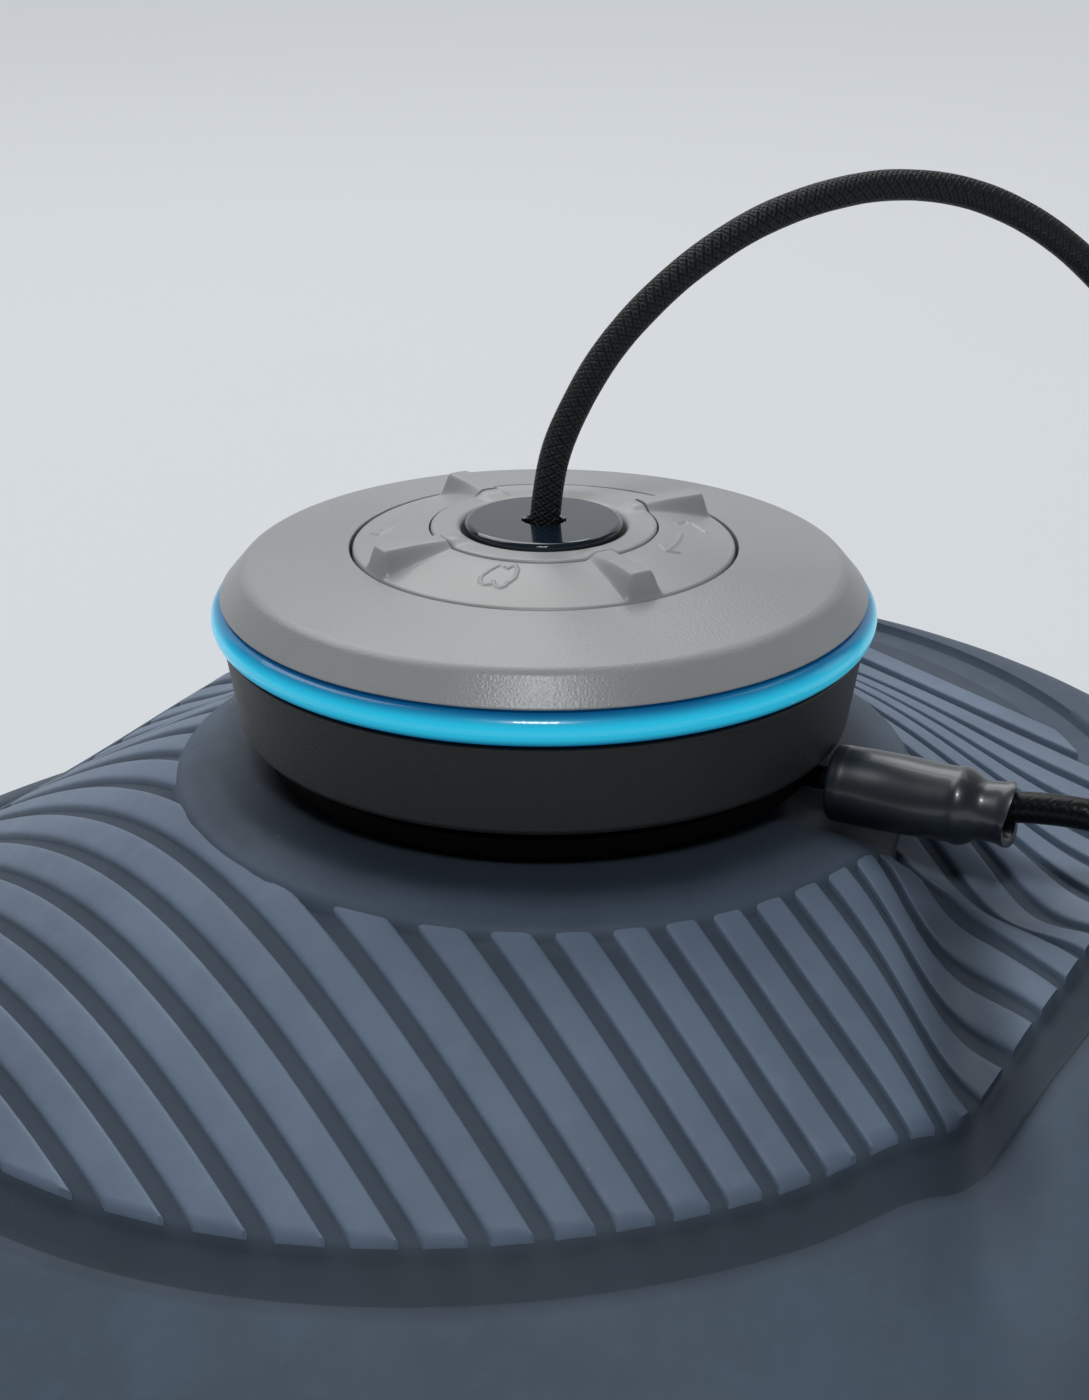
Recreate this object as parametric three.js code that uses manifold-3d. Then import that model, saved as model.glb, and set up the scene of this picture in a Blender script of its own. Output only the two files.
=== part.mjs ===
// Wobble cushion with a twist-lock control puck: a ribbed rubber air cushion that carries a round
// housing with a light ring, a twist dial, a press-in hub button, a hub cord and a side lead.
// Millimetres, +Z up. The origin is on the floor, on the puck's axis.
import * as THREE from 'three';
import { mergeVertices } from 'three/addons/utils/BufferGeometryUtils.js';
import Module from 'manifold-3d';

const wasm = await Module();
wasm.setup();

// ---- driving dimensions --------------------------------------------------------------------
const GAP = 0.3;                  // clearance left between touching parts
const FINE = 32;                  // facets round a visible turned part
const COARSE = 16;                // facets round a hidden turned part

const SHELL_R = 158;              // cushion skins, without the rim bead
const BEAD_R = 3.2;               // rim bead section
const SEAM_Z = 17.5;              // height of the seam between the two skins
const SEAT_Z = 81.5;              // flat seat on top of the cushion
const SKIN = 3.5;                 // skin thickness
const SKIN_HOLE_R = 24;           // opening that the flange spigot plugs
const SEAT_R = 57;                // the flat seat ends here
const EDGE_Z = 19;                // outer edge of the upper skin
const SHOULDER_Z = 70;            // crest of the full lobe
const SHOULDER_R = 108;           // the full lobe starts to fall here

const FLANGE_R = 47;
const FLANGE_TOP = 88.2;
const POCKET_R = 25;              // bayonet pocket in the flange
const POCKET_Z = 85.2;
const HOUSING_BOTTOM_R = 51.1;
const HOUSING_TOP_R = 53.2;
const HOUSING_Z = FLANGE_TOP + GAP;
const FLOOR_TOP = HOUSING_Z + 2.5;
const RING_Z = 106.8;             // light ring centre height
const RING_R = 52.3;              // light ring centre radius
const RING_SECTION = 2.7;
const COVER_EDGE_R = 49.3;
const COVER_EDGE_Z = 115.0;
const DIAL_BORE_R = 32;
const DIAL_R = 31.5;
const DIAL_EDGE_Z = 117.3;
const GRIP_TOP = 121.4;            // the dial's four grips
const GRIP_ANGLE = 30;
const COLLAR_R = 18.6;
const COLLAR_TOP = 120.6;
const BUTTON_R = 12.95;
const BUTTON_TOP = 121.3;
const BUTTON_THICK = 2;

const LEG_R0 = 15.0;              // bayonet drive legs, inner and outer radius
const LEG_R1 = 18.6;
const LEG_ANGLE = 18;
const DIAL_TRAVEL = 60;           // degrees from locked to released
const BOSS_PITCH_R = 43;          // cover screw circle
const BOARD_PITCH_R = 34;         // board screw circle

const CORD_D = 5;                 // hub cord and side lead
const LEAD_AZIMUTH = -25;         // the side lead leaves along this bearing
const LEAD_Z = 84.0;
const COIL_R0 = 22.5;             // put-away coils, inner and outer radius
const COIL_R1 = 32.5;

const DEG = Math.PI / 180;
const wobbleCushion = new THREE.Group();

// ---- shape helpers -------------------------------------------------------------------------

// A part turned about Z from a counter-clockwise [radius, height] profile.
function turned(profile, facets = COARSE) {
  const points = profile.map(([r, z]) => new THREE.Vector2(r, z));
  if (profile[0][0] > 0) points.push(points[0].clone());
  return new THREE.LatheGeometry(points, facets).rotateX(Math.PI / 2);
}

// The same, laid along a bearing in the XY plane: height becomes distance from the puck's axis.
function turnedAlong(profile, azimuth, z, facets = COARSE) {
  return turned(profile, facets).rotateY(Math.PI / 2).rotateZ(azimuth * DEG).translate(0, 0, z);
}

function rod(radius, z0, z1, x = 0, y = 0, facets = 10) {
  const bar = new THREE.CylinderGeometry(radius, radius, z1 - z0, facets);
  return bar.rotateX(Math.PI / 2).translate(x, y, (z0 + z1) / 2);
}

// A piece of a ring, centred on an angle in degrees.
function sector(r0, r1, angle, width, z0, z1) {
  const from = (angle - width / 2) * DEG;
  const to = (angle + width / 2) * DEG;
  const outline = new THREE.Shape();
  outline.absarc(0, 0, r1, from, to, false);
  outline.absarc(0, 0, r0, to, from, true);
  const steps = Math.max(3, Math.ceil(width / 14));
  const options = { depth: z1 - z0, bevelEnabled: false, curveSegments: steps };
  return new THREE.ExtrudeGeometry(outline, options).translate(0, 0, z0);
}

function block(x0, x1, y0, y1, z0, z1) {
  const box = new THREE.BoxGeometry(x1 - x0, y1 - y0, z1 - z0);
  return box.translate((x0 + x1) / 2, (y0 + y1) / 2, (z0 + z1) / 2);
}

// A round cord section swept through hand-placed points.
function sweptCord(points, steps, diameter = CORD_D, sides = 8) {
  const route = points.map((p) => new THREE.Vector3(...p));
  const curve = new THREE.CatmullRomCurve3(route, false, 'centripetal');
  const section = new THREE.Shape();
  section.absarc(0, 0, diameter / 2, 0, 2 * Math.PI, false);
  return new THREE.ExtrudeGeometry(section, { steps, extrudePath: curve, curveSegments: sides / 2 });
}

function solidOf(geometry) {
  const bare = geometry.index ? geometry.toNonIndexed() : geometry.clone();
  for (const name of ['normal', 'uv']) bare.deleteAttribute(name);
  const merged = mergeVertices(bare, 1e-4);
  const vertProperties = new Float32Array(merged.attributes.position.array);
  const triVerts = new Uint32Array(merged.index.array);
  const mesh = new wasm.Mesh({ numProp: 3, vertProperties, triVerts });
  mesh.merge();
  return new wasm.Manifold(mesh);
}

function geometryOf(solid) {
  const mesh = solid.getMesh();
  const geometry = new THREE.BufferGeometry();
  geometry.setAttribute('position', new THREE.BufferAttribute(mesh.vertProperties, 3));
  geometry.setIndex(new THREE.BufferAttribute(mesh.triVerts, 1));
  return geometry;
}

// A base shape with further shapes joined on, then others cut away.
function machined(base, { join = [], cut = [] }) {
  let solid = solidOf(base);
  for (const piece of join) solid = solid.add(solidOf(piece));
  for (const piece of cut) solid = solid.subtract(solidOf(piece));
  return geometryOf(solid);
}

function around(count, first = 0) {
  return Array.from({ length: count }, (_, k) => first + (360 / count) * k);
}

function polar(radius, angle) {
  return [radius * Math.cos(angle * DEG), radius * Math.sin(angle * DEG)];
}

function add(name, geometry, color, roughness, metalness = 0) {
  const mesh = new THREE.Mesh(geometry, new THREE.MeshStandardMaterial({ color, roughness, metalness }));
  mesh.name = name;
  wobbleCushion.add(mesh);
}

const SLATE = 0x5d6d7d;
const SHELL_GREY = 0x9a9c9d;
const DARK_GREY = 0x2b2d2e;
const BLACK = 0x101113;
const STEEL = 0xb4b7ba;
const BOARD_GREEN = 0x1f5a3c;

// ---- cushion -------------------------------------------------------------------------------

function ease(from, to, value) {
  const t = Math.min(1, Math.max(0, (value - from) / (to - from)));
  return t * t * (3 - 2 * t);
}

// Height of the cushion's top surface. The side towards +X and +Y stands full, the rest slopes
// straight down from the seat, a crease runs between them at the front, and a shallow channel
// lies under the side lead's sleeve.
function cushionTop(x, y) {
  const r = Math.hypot(x, y);
  const azimuth = Math.atan2(y, x) / DEG;
  const away = Math.abs(azimuth - 38);
  const fullness = 1 - ease(60, 110, away);
  const low = SEAT_Z - (SEAT_Z - EDGE_Z) * (Math.max(0, r - SEAT_R) / (SHELL_R - SEAT_R)) ** 1.05;
  const fall = Math.max(0, r - SHOULDER_R) / (SHELL_R - SHOULDER_R);
  const full = SEAT_Z - (SEAT_Z - SHOULDER_Z) * ease(50, 92, r) - (SHOULDER_Z - EDGE_Z) * fall ** 2;
  const crease = 6 * Math.exp(-(((x - 61) / 8) ** 2)) * ease(20, 45, -y) * (1 - ease(85, 125, -y));
  const along = x * Math.cos(LEAD_AZIMUTH * DEG) + y * Math.sin(LEAD_AZIMUTH * DEG);
  const across = -x * Math.sin(LEAD_AZIMUTH * DEG) + y * Math.cos(LEAD_AZIMUTH * DEG);
  const channel = 5.6 * Math.exp(-((across / 8) ** 2)) * ease(42, 50, along) * (1 - ease(78, 104, along));
  return low + (full - low) * fullness - Math.max(crease, channel);
}

function upperSkin() {
  const outer = [SKIN_HOLE_R, 42, 49, 57, 66, 78, 92, 108, 122, 134, 144, 152, SHELL_R];
  const inner = [SHELL_R - SKIN, 148, 138, 124, 106, 86, 66, 50, 42, SKIN_HOLE_R];
  const profile = [...inner.toReversed().map((r) => [r, -SKIN]), ...outer.toReversed().map((r) => [r, 0])];
  const skin = turned(profile, FINE);
  const position = skin.attributes.position;
  for (let i = 0; i < position.count; i += 1) {
    const x = position.getX(i);
    const y = position.getY(i);
    position.setZ(i, Math.max(SEAM_Z + GAP, cushionTop(x, y) + position.getZ(i)));
  }
  return skin;
}

function lowerSkin() {
  const bottom = 2.6;
  const profile = [
    [0, bottom], [124, bottom], [138, 4.2], [149, 8], [155, 12], [SHELL_R, SEAM_Z - 1],
    [SHELL_R - SKIN, SEAM_Z - 1], [151, 13.2], [146, 10.8], [136.5, 7.5], [123, 6], [0, 6],
  ];
  return machined(turned(profile, FINE), { cut: [rod(6.3, 0, 10, 0, 0, 14)] });
}

function valveBody() {
  return turned([[3.1, 2.6], [6, 2.6], [6, 6.3], [9, 6.3], [9, 8], [5, 8], [5, 14], [3.1, 14]], 14);
}

function valvePlug() {
  return turned([[0, 0.5], [4.5, 0.5], [5, 1], [5, 2.3], [2.8, 2.3], [2.6, 12.5], [0, 12.5]], 14);
}

function rimBead() {
  const centre = SHELL_R + BEAD_R + GAP;
  const section = around(8).map((a) => {
    const [dr, dz] = polar(BEAD_R, a);
    return [centre + dr, SEAM_Z + dz];
  });
  return turned(section, FINE);
}

add('lower_skin', lowerSkin(), SLATE, 0.7);
add('upper_skin', upperSkin(), SLATE, 0.7);
add('rim_bead', rimBead(), SLATE, 0.6);
add('grip_ring', turned([[86, 0], [122, 0], [122, 2.3], [86, 2.3]], FINE), BLACK, 0.85);
add('valve_body', valveBody(), BLACK, 0.6);
add('valve_plug', valvePlug(), DARK_GREY, 0.5);

// ---- seat: clamp plate, flange and their screws --------------------------------------------

const CLAMP_TOP = SEAT_Z - SKIN - GAP;
const CLAMP_THICK = 3.7;
const SPIGOT_Z = SEAT_Z - SKIN + GAP;

function clampPlate() {
  const bottom = CLAMP_TOP - CLAMP_THICK;
  const plate = turned([[10, bottom], [38, bottom], [38, CLAMP_TOP], [10, CLAMP_TOP]], COARSE);
  const holes = around(4, 45).map((a) => rod(1.7, bottom - 1, CLAMP_TOP + 1, ...polar(16, a), 8));
  return machined(plate, { cut: holes });
}

function baseFlange() {
  const seat = SEAT_Z + GAP;
  const profile = [
    [8, SPIGOT_Z], [SKIN_HOLE_R - 0.5, SPIGOT_Z], [SKIN_HOLE_R - 0.5, seat], [FLANGE_R, seat],
    [FLANGE_R, FLANGE_TOP], [POCKET_R, FLANGE_TOP], [POCKET_R, POCKET_Z], [8, POCKET_Z],
  ];
  const claws = around(3).map((a) => sector(21, POCKET_R + 1, a, 50, 86.9, FLANGE_TOP));
  const screwHoles = around(4, 45).map((a) => rod(1.7, SPIGOT_Z - 1, POCKET_Z - 0.4, ...polar(16, a), 8));
  const leadHole = turnedAlong([[0, 20], [2.2, 20], [2.2, 60], [0, 60]], LEAD_AZIMUTH, 84.4, 16);
  return machined(turned(profile, FINE), { join: claws, cut: [...screwHoles, leadHole] });
}

// A pan-head screw standing on its head, or hanging from it when the head is the upper end.
function screw(headR, shankR, headEnd, shankEnd, headHeight, [x, y]) {
  const shoulder = headEnd + Math.sign(shankEnd - headEnd) * headHeight;
  const head = [[0, headEnd], [headR, headEnd], [headR, shoulder]];
  const side = [...head, [shankR, shoulder], [shankR, shankEnd], [0, shankEnd]];
  const profile = shankEnd > headEnd ? side : side.toReversed();
  return turned(profile, 10).translate(x, y, 0);
}

add('clamp_plate', clampPlate(), STEEL, 0.4, 1);
add('base_flange', baseFlange(), BLACK, 0.5);
around(4, 45).forEach((a, k) => {
  const head = CLAMP_TOP - CLAMP_THICK - GAP - 1.8;
  add(`flange_screw_${k + 1}`, screw(2.8, 1.4, head, POCKET_Z - 0.8, 1.8, polar(16, a)), STEEL, 0.3, 1);
});

// ---- housing, light ring and cover ---------------------------------------------------------

function lowerHousing() {
  const profile = [
    [0, HOUSING_Z], [HOUSING_BOTTOM_R, HOUSING_Z], [HOUSING_TOP_R, 103.8], [COVER_EDGE_R, 103.8],
    [COVER_EDGE_R, 105.5], [46.9, 105.5], [46.9, 102.5], [48.6, 100.5], [48.6, FLOOR_TOP], [0, FLOOR_TOP],
  ];
  const coverPosts = around(4, 45).map((a) => rod(3, FLOOR_TOP - 1, 105.7, ...polar(BOSS_PITCH_R, a)));
  const boardPosts = around(3, 90).map((a) => rod(2.4, FLOOR_TOP - 1, 93.7, ...polar(BOARD_PITCH_R, a), 8));
  const slotWidth = DIAL_TRAVEL + LEG_ANGLE + 3;
  const legSlots = around(3).map((a) => {
    const middle = a + DIAL_TRAVEL / 2;
    return sector(LEG_R0 - GAP, LEG_R1 + GAP, middle, slotWidth, HOUSING_Z - 1, FLOOR_TOP + 1);
  });
  const coverHoles = around(4, 45).flatMap((a) => [
    rod(1.5, HOUSING_Z - 1, 107, ...polar(BOSS_PITCH_R, a), 8),
    rod(2.9, HOUSING_Z - 1, 90.4, ...polar(BOSS_PITCH_R, a), 10),
  ]);
  const boardHoles = around(3, 90).map((a) => rod(1.2, 91.5, 95, ...polar(BOARD_PITCH_R, a), 8));
  const cut = [...legSlots, ...coverHoles, ...boardHoles];
  return machined(turned(profile, FINE), { join: [...coverPosts, ...boardPosts], cut });
}

// A round bead with a tongue that the housing and the cover clamp between them.
function lightRing() {
  const tongueR = 46.5;
  const tongueHalf = 1;
  const arc = Array.from({ length: 7 }, (_, k) => {
    const [dr, dz] = polar(RING_SECTION, -150 + 50 * k);
    return [RING_R + dr, RING_Z + dz];
  });
  return turned([[tongueR, RING_Z - tongueHalf], ...arc, [tongueR, RING_Z + tongueHalf]], FINE);
}

function topCover() {
  const ledge = 28.5;
  const profile = [
    [46.9, 108.1], [COVER_EDGE_R, 108.1], [COVER_EDGE_R, 109.8], [53.6, 109.8],
    [COVER_EDGE_R, COVER_EDGE_Z], [DIAL_BORE_R, DIAL_EDGE_Z], [DIAL_BORE_R, 112.2], [ledge, 112.2],
    [ledge, 111], [34.2, 111], [34.2, 113.9], [46.9, 111.8],
  ];
  const bosses = around(4, 45).map((a) => rod(2.8, 107.5, 113, ...polar(BOSS_PITCH_R, a)));
  const holes = around(4, 45).map((a) => rod(1.5, 107, 111.5, ...polar(BOSS_PITCH_R, a), 8));
  return machined(turned(profile, FINE), { join: bosses, cut: holes });
}

function ledBoard() {
  const board = turned([[40, 106], [46, 106], [46, 107.2], [40, 107.2]]);
  const holes = around(4, 45).map((a) => rod(1.6, 105, 108, ...polar(BOSS_PITCH_R, a), 8));
  return machined(board, { cut: holes });
}

function controlBoard() {
  const top = 95.6;
  const board = turned([[21, 94], [40, 94], [40, top], [21, top]]);
  const parts = [
    block(24, 31, -8, 8, top - 0.5, 99),
    block(-32, -24, -5, 5, top - 0.5, 98),
    block(-6, 6, -31, -26, top - 0.5, 101),
  ];
  const holes = around(3, 90).map((a) => rod(1.5, 93, 97, ...polar(BOARD_PITCH_R, a), 8));
  return machined(board, { join: parts, cut: holes });
}

add('lower_housing', lowerHousing(), DARK_GREY, 0.55);
add('light_ring', lightRing(), 0x1fb0e0, 0.3);
add('led_board', ledBoard(), BOARD_GREEN, 0.5);
add('control_board', controlBoard(), BOARD_GREEN, 0.5);
add('top_cover', topCover(), SHELL_GREY, 0.5);
around(4, 45).forEach((a, k) => {
  add(`cover_screw_${k + 1}`, screw(2.6, 1.2, 88.7, 111, 1.5, polar(BOSS_PITCH_R, a)), STEEL, 0.3, 1);
});
around(3, 90).forEach((a, k) => {
  add(`board_screw_${k + 1}`, screw(2.2, 0.9, 97.1, 92, 1.2, polar(BOARD_PITCH_R, a)), STEEL, 0.3, 1);
});

// ---- dial and bayonet lock -----------------------------------------------------------------

function dial() {
  const inner = LEG_R0 - 0.2;
  const profile = [
    [inner, 105.3], [LEG_R1, 105.3], [LEG_R1, 114.2], [DIAL_R - 0.1, 114.2], [DIAL_R, 117],
    [DIAL_R - 0.3, DIAL_EDGE_Z], [COLLAR_R + GAP, 119.9], [COLLAR_R + GAP, 117.2], [inner, 117.2],
  ];
  const gripOutline = new THREE.Shape();
  gripOutline.moveTo(-4.2, 116.5);
  gripOutline.lineTo(4.2, 116.5);
  gripOutline.lineTo(2.4, GRIP_TOP);
  gripOutline.lineTo(-2.4, GRIP_TOP);
  const gripLength = 11.2;
  const grips = around(4, GRIP_ANGLE).map((a) => {
    const grip = new THREE.ExtrudeGeometry(gripOutline, { depth: gripLength, bevelEnabled: false });
    const upright = new THREE.Matrix4().makeBasis(
      new THREE.Vector3(0, 1, 0), new THREE.Vector3(0, 0, 1), new THREE.Vector3(1, 0, 0));
    return grip.applyMatrix4(upright).translate(COLLAR_R + 0.8, 0, 0).rotateZ(a * DEG);
  });
  const screwHoles = around(3).flatMap((a) => [
    rod(1.1, 104, 118, ...polar(16.8, a), 8), rod(1.5, 115.4, 118, ...polar(16.8, a), 8),
  ]);
  return machined(turned(profile, FINE), { join: grips, cut: screwHoles });
}

function dialCollar() {
  return turned([
    [13.6, 113], [14.5, 113], [14.5, 117.5], [COLLAR_R, 117.5], [COLLAR_R, 120.2], [18, COLLAR_TOP],
    [14.4, COLLAR_TOP], [13.6, 119.8],
  ], FINE);
}

// A bayonet ring: lugs turn under the flange's claws, and legs reach up to the dial.
function lockRing() {
  const ring = turned([[12, 85.5], [LEG_R1, 85.5], [LEG_R1, 87.9], [12, 87.9]]);
  const lugs = around(3).map((a) => sector(LEG_R1 - 1, POCKET_R - 0.4, a, 40, 85.5, 86.6));
  const legs = around(3).map((a) => sector(LEG_R0, LEG_R1 - 0.02, a, LEG_ANGLE, 87, 105));
  const holes = around(3).map((a) => rod(1.1, 97, 106, ...polar(16.8, a), 8));
  return machined(ring, { join: [...lugs, ...legs], cut: holes });
}

add('dial', dial(), SHELL_GREY, 0.5);
add('dial_collar', dialCollar(), SHELL_GREY, 0.45);
add('dial_seal', turned([[29.5, 112.5], [31.2, 112.5], [31.2, 113.9], [29.5, 113.9]]), BLACK, 0.8);
add('lock_ring', lockRing(), DARK_GREY, 0.5);
around(3).forEach((a, k) => {
  add(`dial_screw_${k + 1}`, screw(1.35, 0.8, 117.1, 98, 1.3, polar(16.8, a)), STEEL, 0.3, 1);
});

// ---- hub: core, button, collet and spring --------------------------------------------------

function hubButton() {
  const under = BUTTON_TOP - BUTTON_THICK;
  const profile = [
    [6.6, 109], [9.2, 109], [9.2, under], [BUTTON_R, under], [BUTTON_R, BUTTON_TOP - 0.4],
    [BUTTON_R - 0.5, BUTTON_TOP], [3.0, BUTTON_TOP], [3.0, under], [6.6, under],
  ];
  return machined(turned(profile, FINE), { cut: [block(-5, 5, -1, 1, BUTTON_TOP - 0.8, BUTTON_TOP + 1)] });
}

function buttonSpring() {
  const coil = [];
  const turns = 4;
  for (let k = 0; k <= turns * 10; k += 1) {
    const [x, y] = polar(7.9, 36 * k);
    coil.push([x, y, 96.2 + (11.6 * k) / (turns * 10)]);
  }
  return sweptCord(coil, turns * 10, 1.2, 6);
}

add('hub_core', turned([
  [3, 91.3], [12.5, 91.3], [12.5, 112], [9.8, 112], [9.8, 95], [3, 95],
]), DARK_GREY, 0.5);
add('cord_ferrule', turned([[0, 95.3], [4, 95.3], [4, 103.7], [0, 103.7]], 14), STEEL, 0.35, 1);
add('button_spring', buttonSpring(), STEEL, 0.3, 1);
add('hub_button', hubButton(), BLACK, 0.15);
add('collet', turned([[3, 109], [6.2, 109], [6.2, 118.9], [3, 118.9]], 14), STEEL, 0.35, 1);

// ---- side lead -----------------------------------------------------------------------------

const SLEEVE_START = HOUSING_BOTTOM_R + 0.6;
const SLEEVE_END = 80.8;

add('lead_socket', turnedAlong(
  [[0, 27], [1.9, 27], [1.9, SLEEVE_START - GAP], [0, SLEEVE_START - GAP]], LEAD_AZIMUTH, 84.4, 16), BLACK, 0.5);
add('lead_sleeve', turnedAlong([
  [0, SLEEVE_START], [6.1, SLEEVE_START], [6.3, SLEEVE_START + 1], [6.2, 73.5], [4.9, 76.4], [4.6, SLEEVE_END],
  [0, SLEEVE_END],
], LEAD_AZIMUTH, LEAD_Z, 16), BLACK, 0.3);

const SIDE_LEAD_POINTS = [
  [73.6, -34.3, 85.5], [77, -35.9, 86], [83.4, -38.9, 86.4], [89.7, -41.8, 85.4], [96.1, -44.8, 82.6],
  [102.4, -47.8, 78.4], [108.8, -50.7, 73.6], [115.1, -53.7, 68.8], [121.4, -56.6, 62.9],
  [127.8, -59.6, 55.2], [134.1, -62.5, 45.6], [140, -65.3, 36.4], [145.9, -68, 28.4],
  [151.9, -70.8, 20.2], [156.2, -72.8, 12.8], [161.3, -75.2, 6.9], [168.6, -78.6, 3.4],
  [177.6, -82.8, 2.5],
];
const HUB_CORD_POINTS = [
  [0, 0, 104], [0, 0, 113], [0.2, 0.1, 121.5], [1.9, 0.5, 132.3], [5.4, 1.4, 140.6], [10, 2.7, 148.2],
  [16.1, 4.3, 155.2], [24.4, 6.5, 162.2], [34.8, 9.3, 168.2], [46.4, 12.4, 171.8], [57, 15.3, 172.8],
  [69.5, 18.6, 170.8], [82.6, 22.1, 164.6], [94.7, 25.4, 154.6], [105.3, 28.2, 141], [114, 30.5, 124.5],
  [120.7, 32.4, 106.5], [126.1, 33.8, 89], [130.4, 34.9, 74.5], [134.7, 36.1, 63], [139.6, 37.4, 52.6],
  [144.9, 38.8, 43], [150.7, 40.4, 34.2], [156.5, 41.9, 27.2], [162.3, 43.5, 19.8], [167.1, 44.8, 12.6],
  [173.2, 46.4, 6.6], [180.6, 48.4, 3.2], [189.3, 50.7, 2.5],
];
const SIDE_COIL = { x: 182.1, y: -118.1, height: 21 };
const HUB_COIL = { x: 199.9, y: 84.7, height: 16 };
const SIDE_TAIL_POINTS = [
  [212.1, -137.2, 14.2], [212.1, -144.0, 11.6], [212.1, -151.5, 8.2], [212.1, -159.0, 5.6], [212.1, -166.6, 4.6],
];
const HUB_TAIL_POINTS = [
  [229.9, 103.8, 10.4], [229.9, 110.5, 9.0], [229.9, 117.5, 7.2], [229.9, 125.0, 5.9], [229.9, 132.0, 5.6],
];

const HUB_PLUG_X = 229.9;
const HUB_PLUG_Z = 5.6;

function coil({ x, y, height }) {
  return turned([[COIL_R0, 0], [COIL_R1, 0], [COIL_R1, height], [COIL_R0, height]]).translate(x, y, 0);
}

add('side_lead', sweptCord(SIDE_LEAD_POINTS, 20), BLACK, 0.45);
add('side_lead_coil', coil(SIDE_COIL), BLACK, 0.45);
add('side_lead_tail', sweptCord(SIDE_TAIL_POINTS, 6), BLACK, 0.45);
add('side_lead_plug', block(206.1, 218.1, -191.1, -166.9, 0.4, 8.8), BLACK, 0.4);
add('side_lead_plug_shell', block(206.4, 217.8, -203.4, -191.4, 2.4, 6.8), STEEL, 0.25, 1);

// ---- hub cord ------------------------------------------------------------------------------

add('hub_cord', sweptCord(HUB_CORD_POINTS, 36), BLACK, 0.8);
add('hub_cord_coil', coil(HUB_COIL), BLACK, 0.8);
add('hub_cord_tail', sweptCord(HUB_TAIL_POINTS, 6), BLACK, 0.8);
add('hub_cord_plug', turned([
  [0, 132.3], [3.4, 132.3], [5.6, 136], [5.6, 153], [4.6, 156], [0, 156],
], 14).rotateX(-Math.PI / 2).translate(HUB_PLUG_X, 0, HUB_PLUG_Z), BLACK, 0.4);
add('hub_cord_plug_tip', turned([
  [0, 156.3], [2.75, 156.3], [2.75, 165.8], [2.3, 166.3], [0, 166.3],
], 14).rotateX(-Math.PI / 2).translate(HUB_PLUG_X, 0, HUB_PLUG_Z), STEEL, 0.25, 1);

export default wobbleCushion;
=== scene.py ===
"""Wobble cushion with a twist-lock control puck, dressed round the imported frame.

A ribbed rubber air cushion carries a round puck: flange, housing, light ring, cover, twist dial and
press-in hub button, with a braided hub cord and a side lead that leaves through a shrunk sleeve.
Sizes are in millimetres, as in the part's source, and reach Blender in metres through MM.
"""

import logging
import math
from collections.abc import Callable, Sequence
from dataclasses import dataclass, field
from enum import Enum

import bmesh
import bpy
from mathutils import Matrix, Vector


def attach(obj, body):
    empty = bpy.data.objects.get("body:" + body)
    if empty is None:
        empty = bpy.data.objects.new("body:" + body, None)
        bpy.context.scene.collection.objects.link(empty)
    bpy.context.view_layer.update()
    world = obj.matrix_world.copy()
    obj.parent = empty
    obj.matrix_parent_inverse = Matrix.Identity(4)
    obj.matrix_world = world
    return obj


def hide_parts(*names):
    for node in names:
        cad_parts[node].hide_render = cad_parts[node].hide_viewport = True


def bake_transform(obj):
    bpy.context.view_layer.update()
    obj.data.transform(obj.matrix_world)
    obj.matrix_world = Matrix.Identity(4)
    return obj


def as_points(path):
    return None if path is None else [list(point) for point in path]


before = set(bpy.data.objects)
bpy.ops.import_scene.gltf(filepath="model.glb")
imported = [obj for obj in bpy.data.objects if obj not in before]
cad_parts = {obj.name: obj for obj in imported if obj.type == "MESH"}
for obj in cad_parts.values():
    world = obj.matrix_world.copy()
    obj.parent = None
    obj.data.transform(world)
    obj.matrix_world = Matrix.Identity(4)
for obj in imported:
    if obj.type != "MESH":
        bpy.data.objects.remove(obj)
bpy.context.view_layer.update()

LOG = logging.getLogger("wobble_cushion")
MM = 0.001
TURN = 2 * math.pi

Point = tuple[float, float, float]
Profile = Sequence[Point]  # radius, height and corner rounding of each corner


def ease(start: float, end: float, value: float) -> float:
    """Smooth rise from 0 at start to 1 at end.

    Args:
        start: Where the rise begins.
        end: Where it is complete.
        value: Where to read it.

    Returns:
        The share of the rise, from 0 to 1.
    """
    share = min(1.0, max(0.0, (value - start) / (end - start)))
    return share * share * (3 - 2 * share)


def polar(radius: float, degrees: float) -> Vector:
    """A point in the XY plane, by radius and bearing."""
    angle = math.radians(degrees)
    return Vector((radius * math.cos(angle), radius * math.sin(angle), 0))


# ---- shader expressions ----------------------------------------------------------------------


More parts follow.
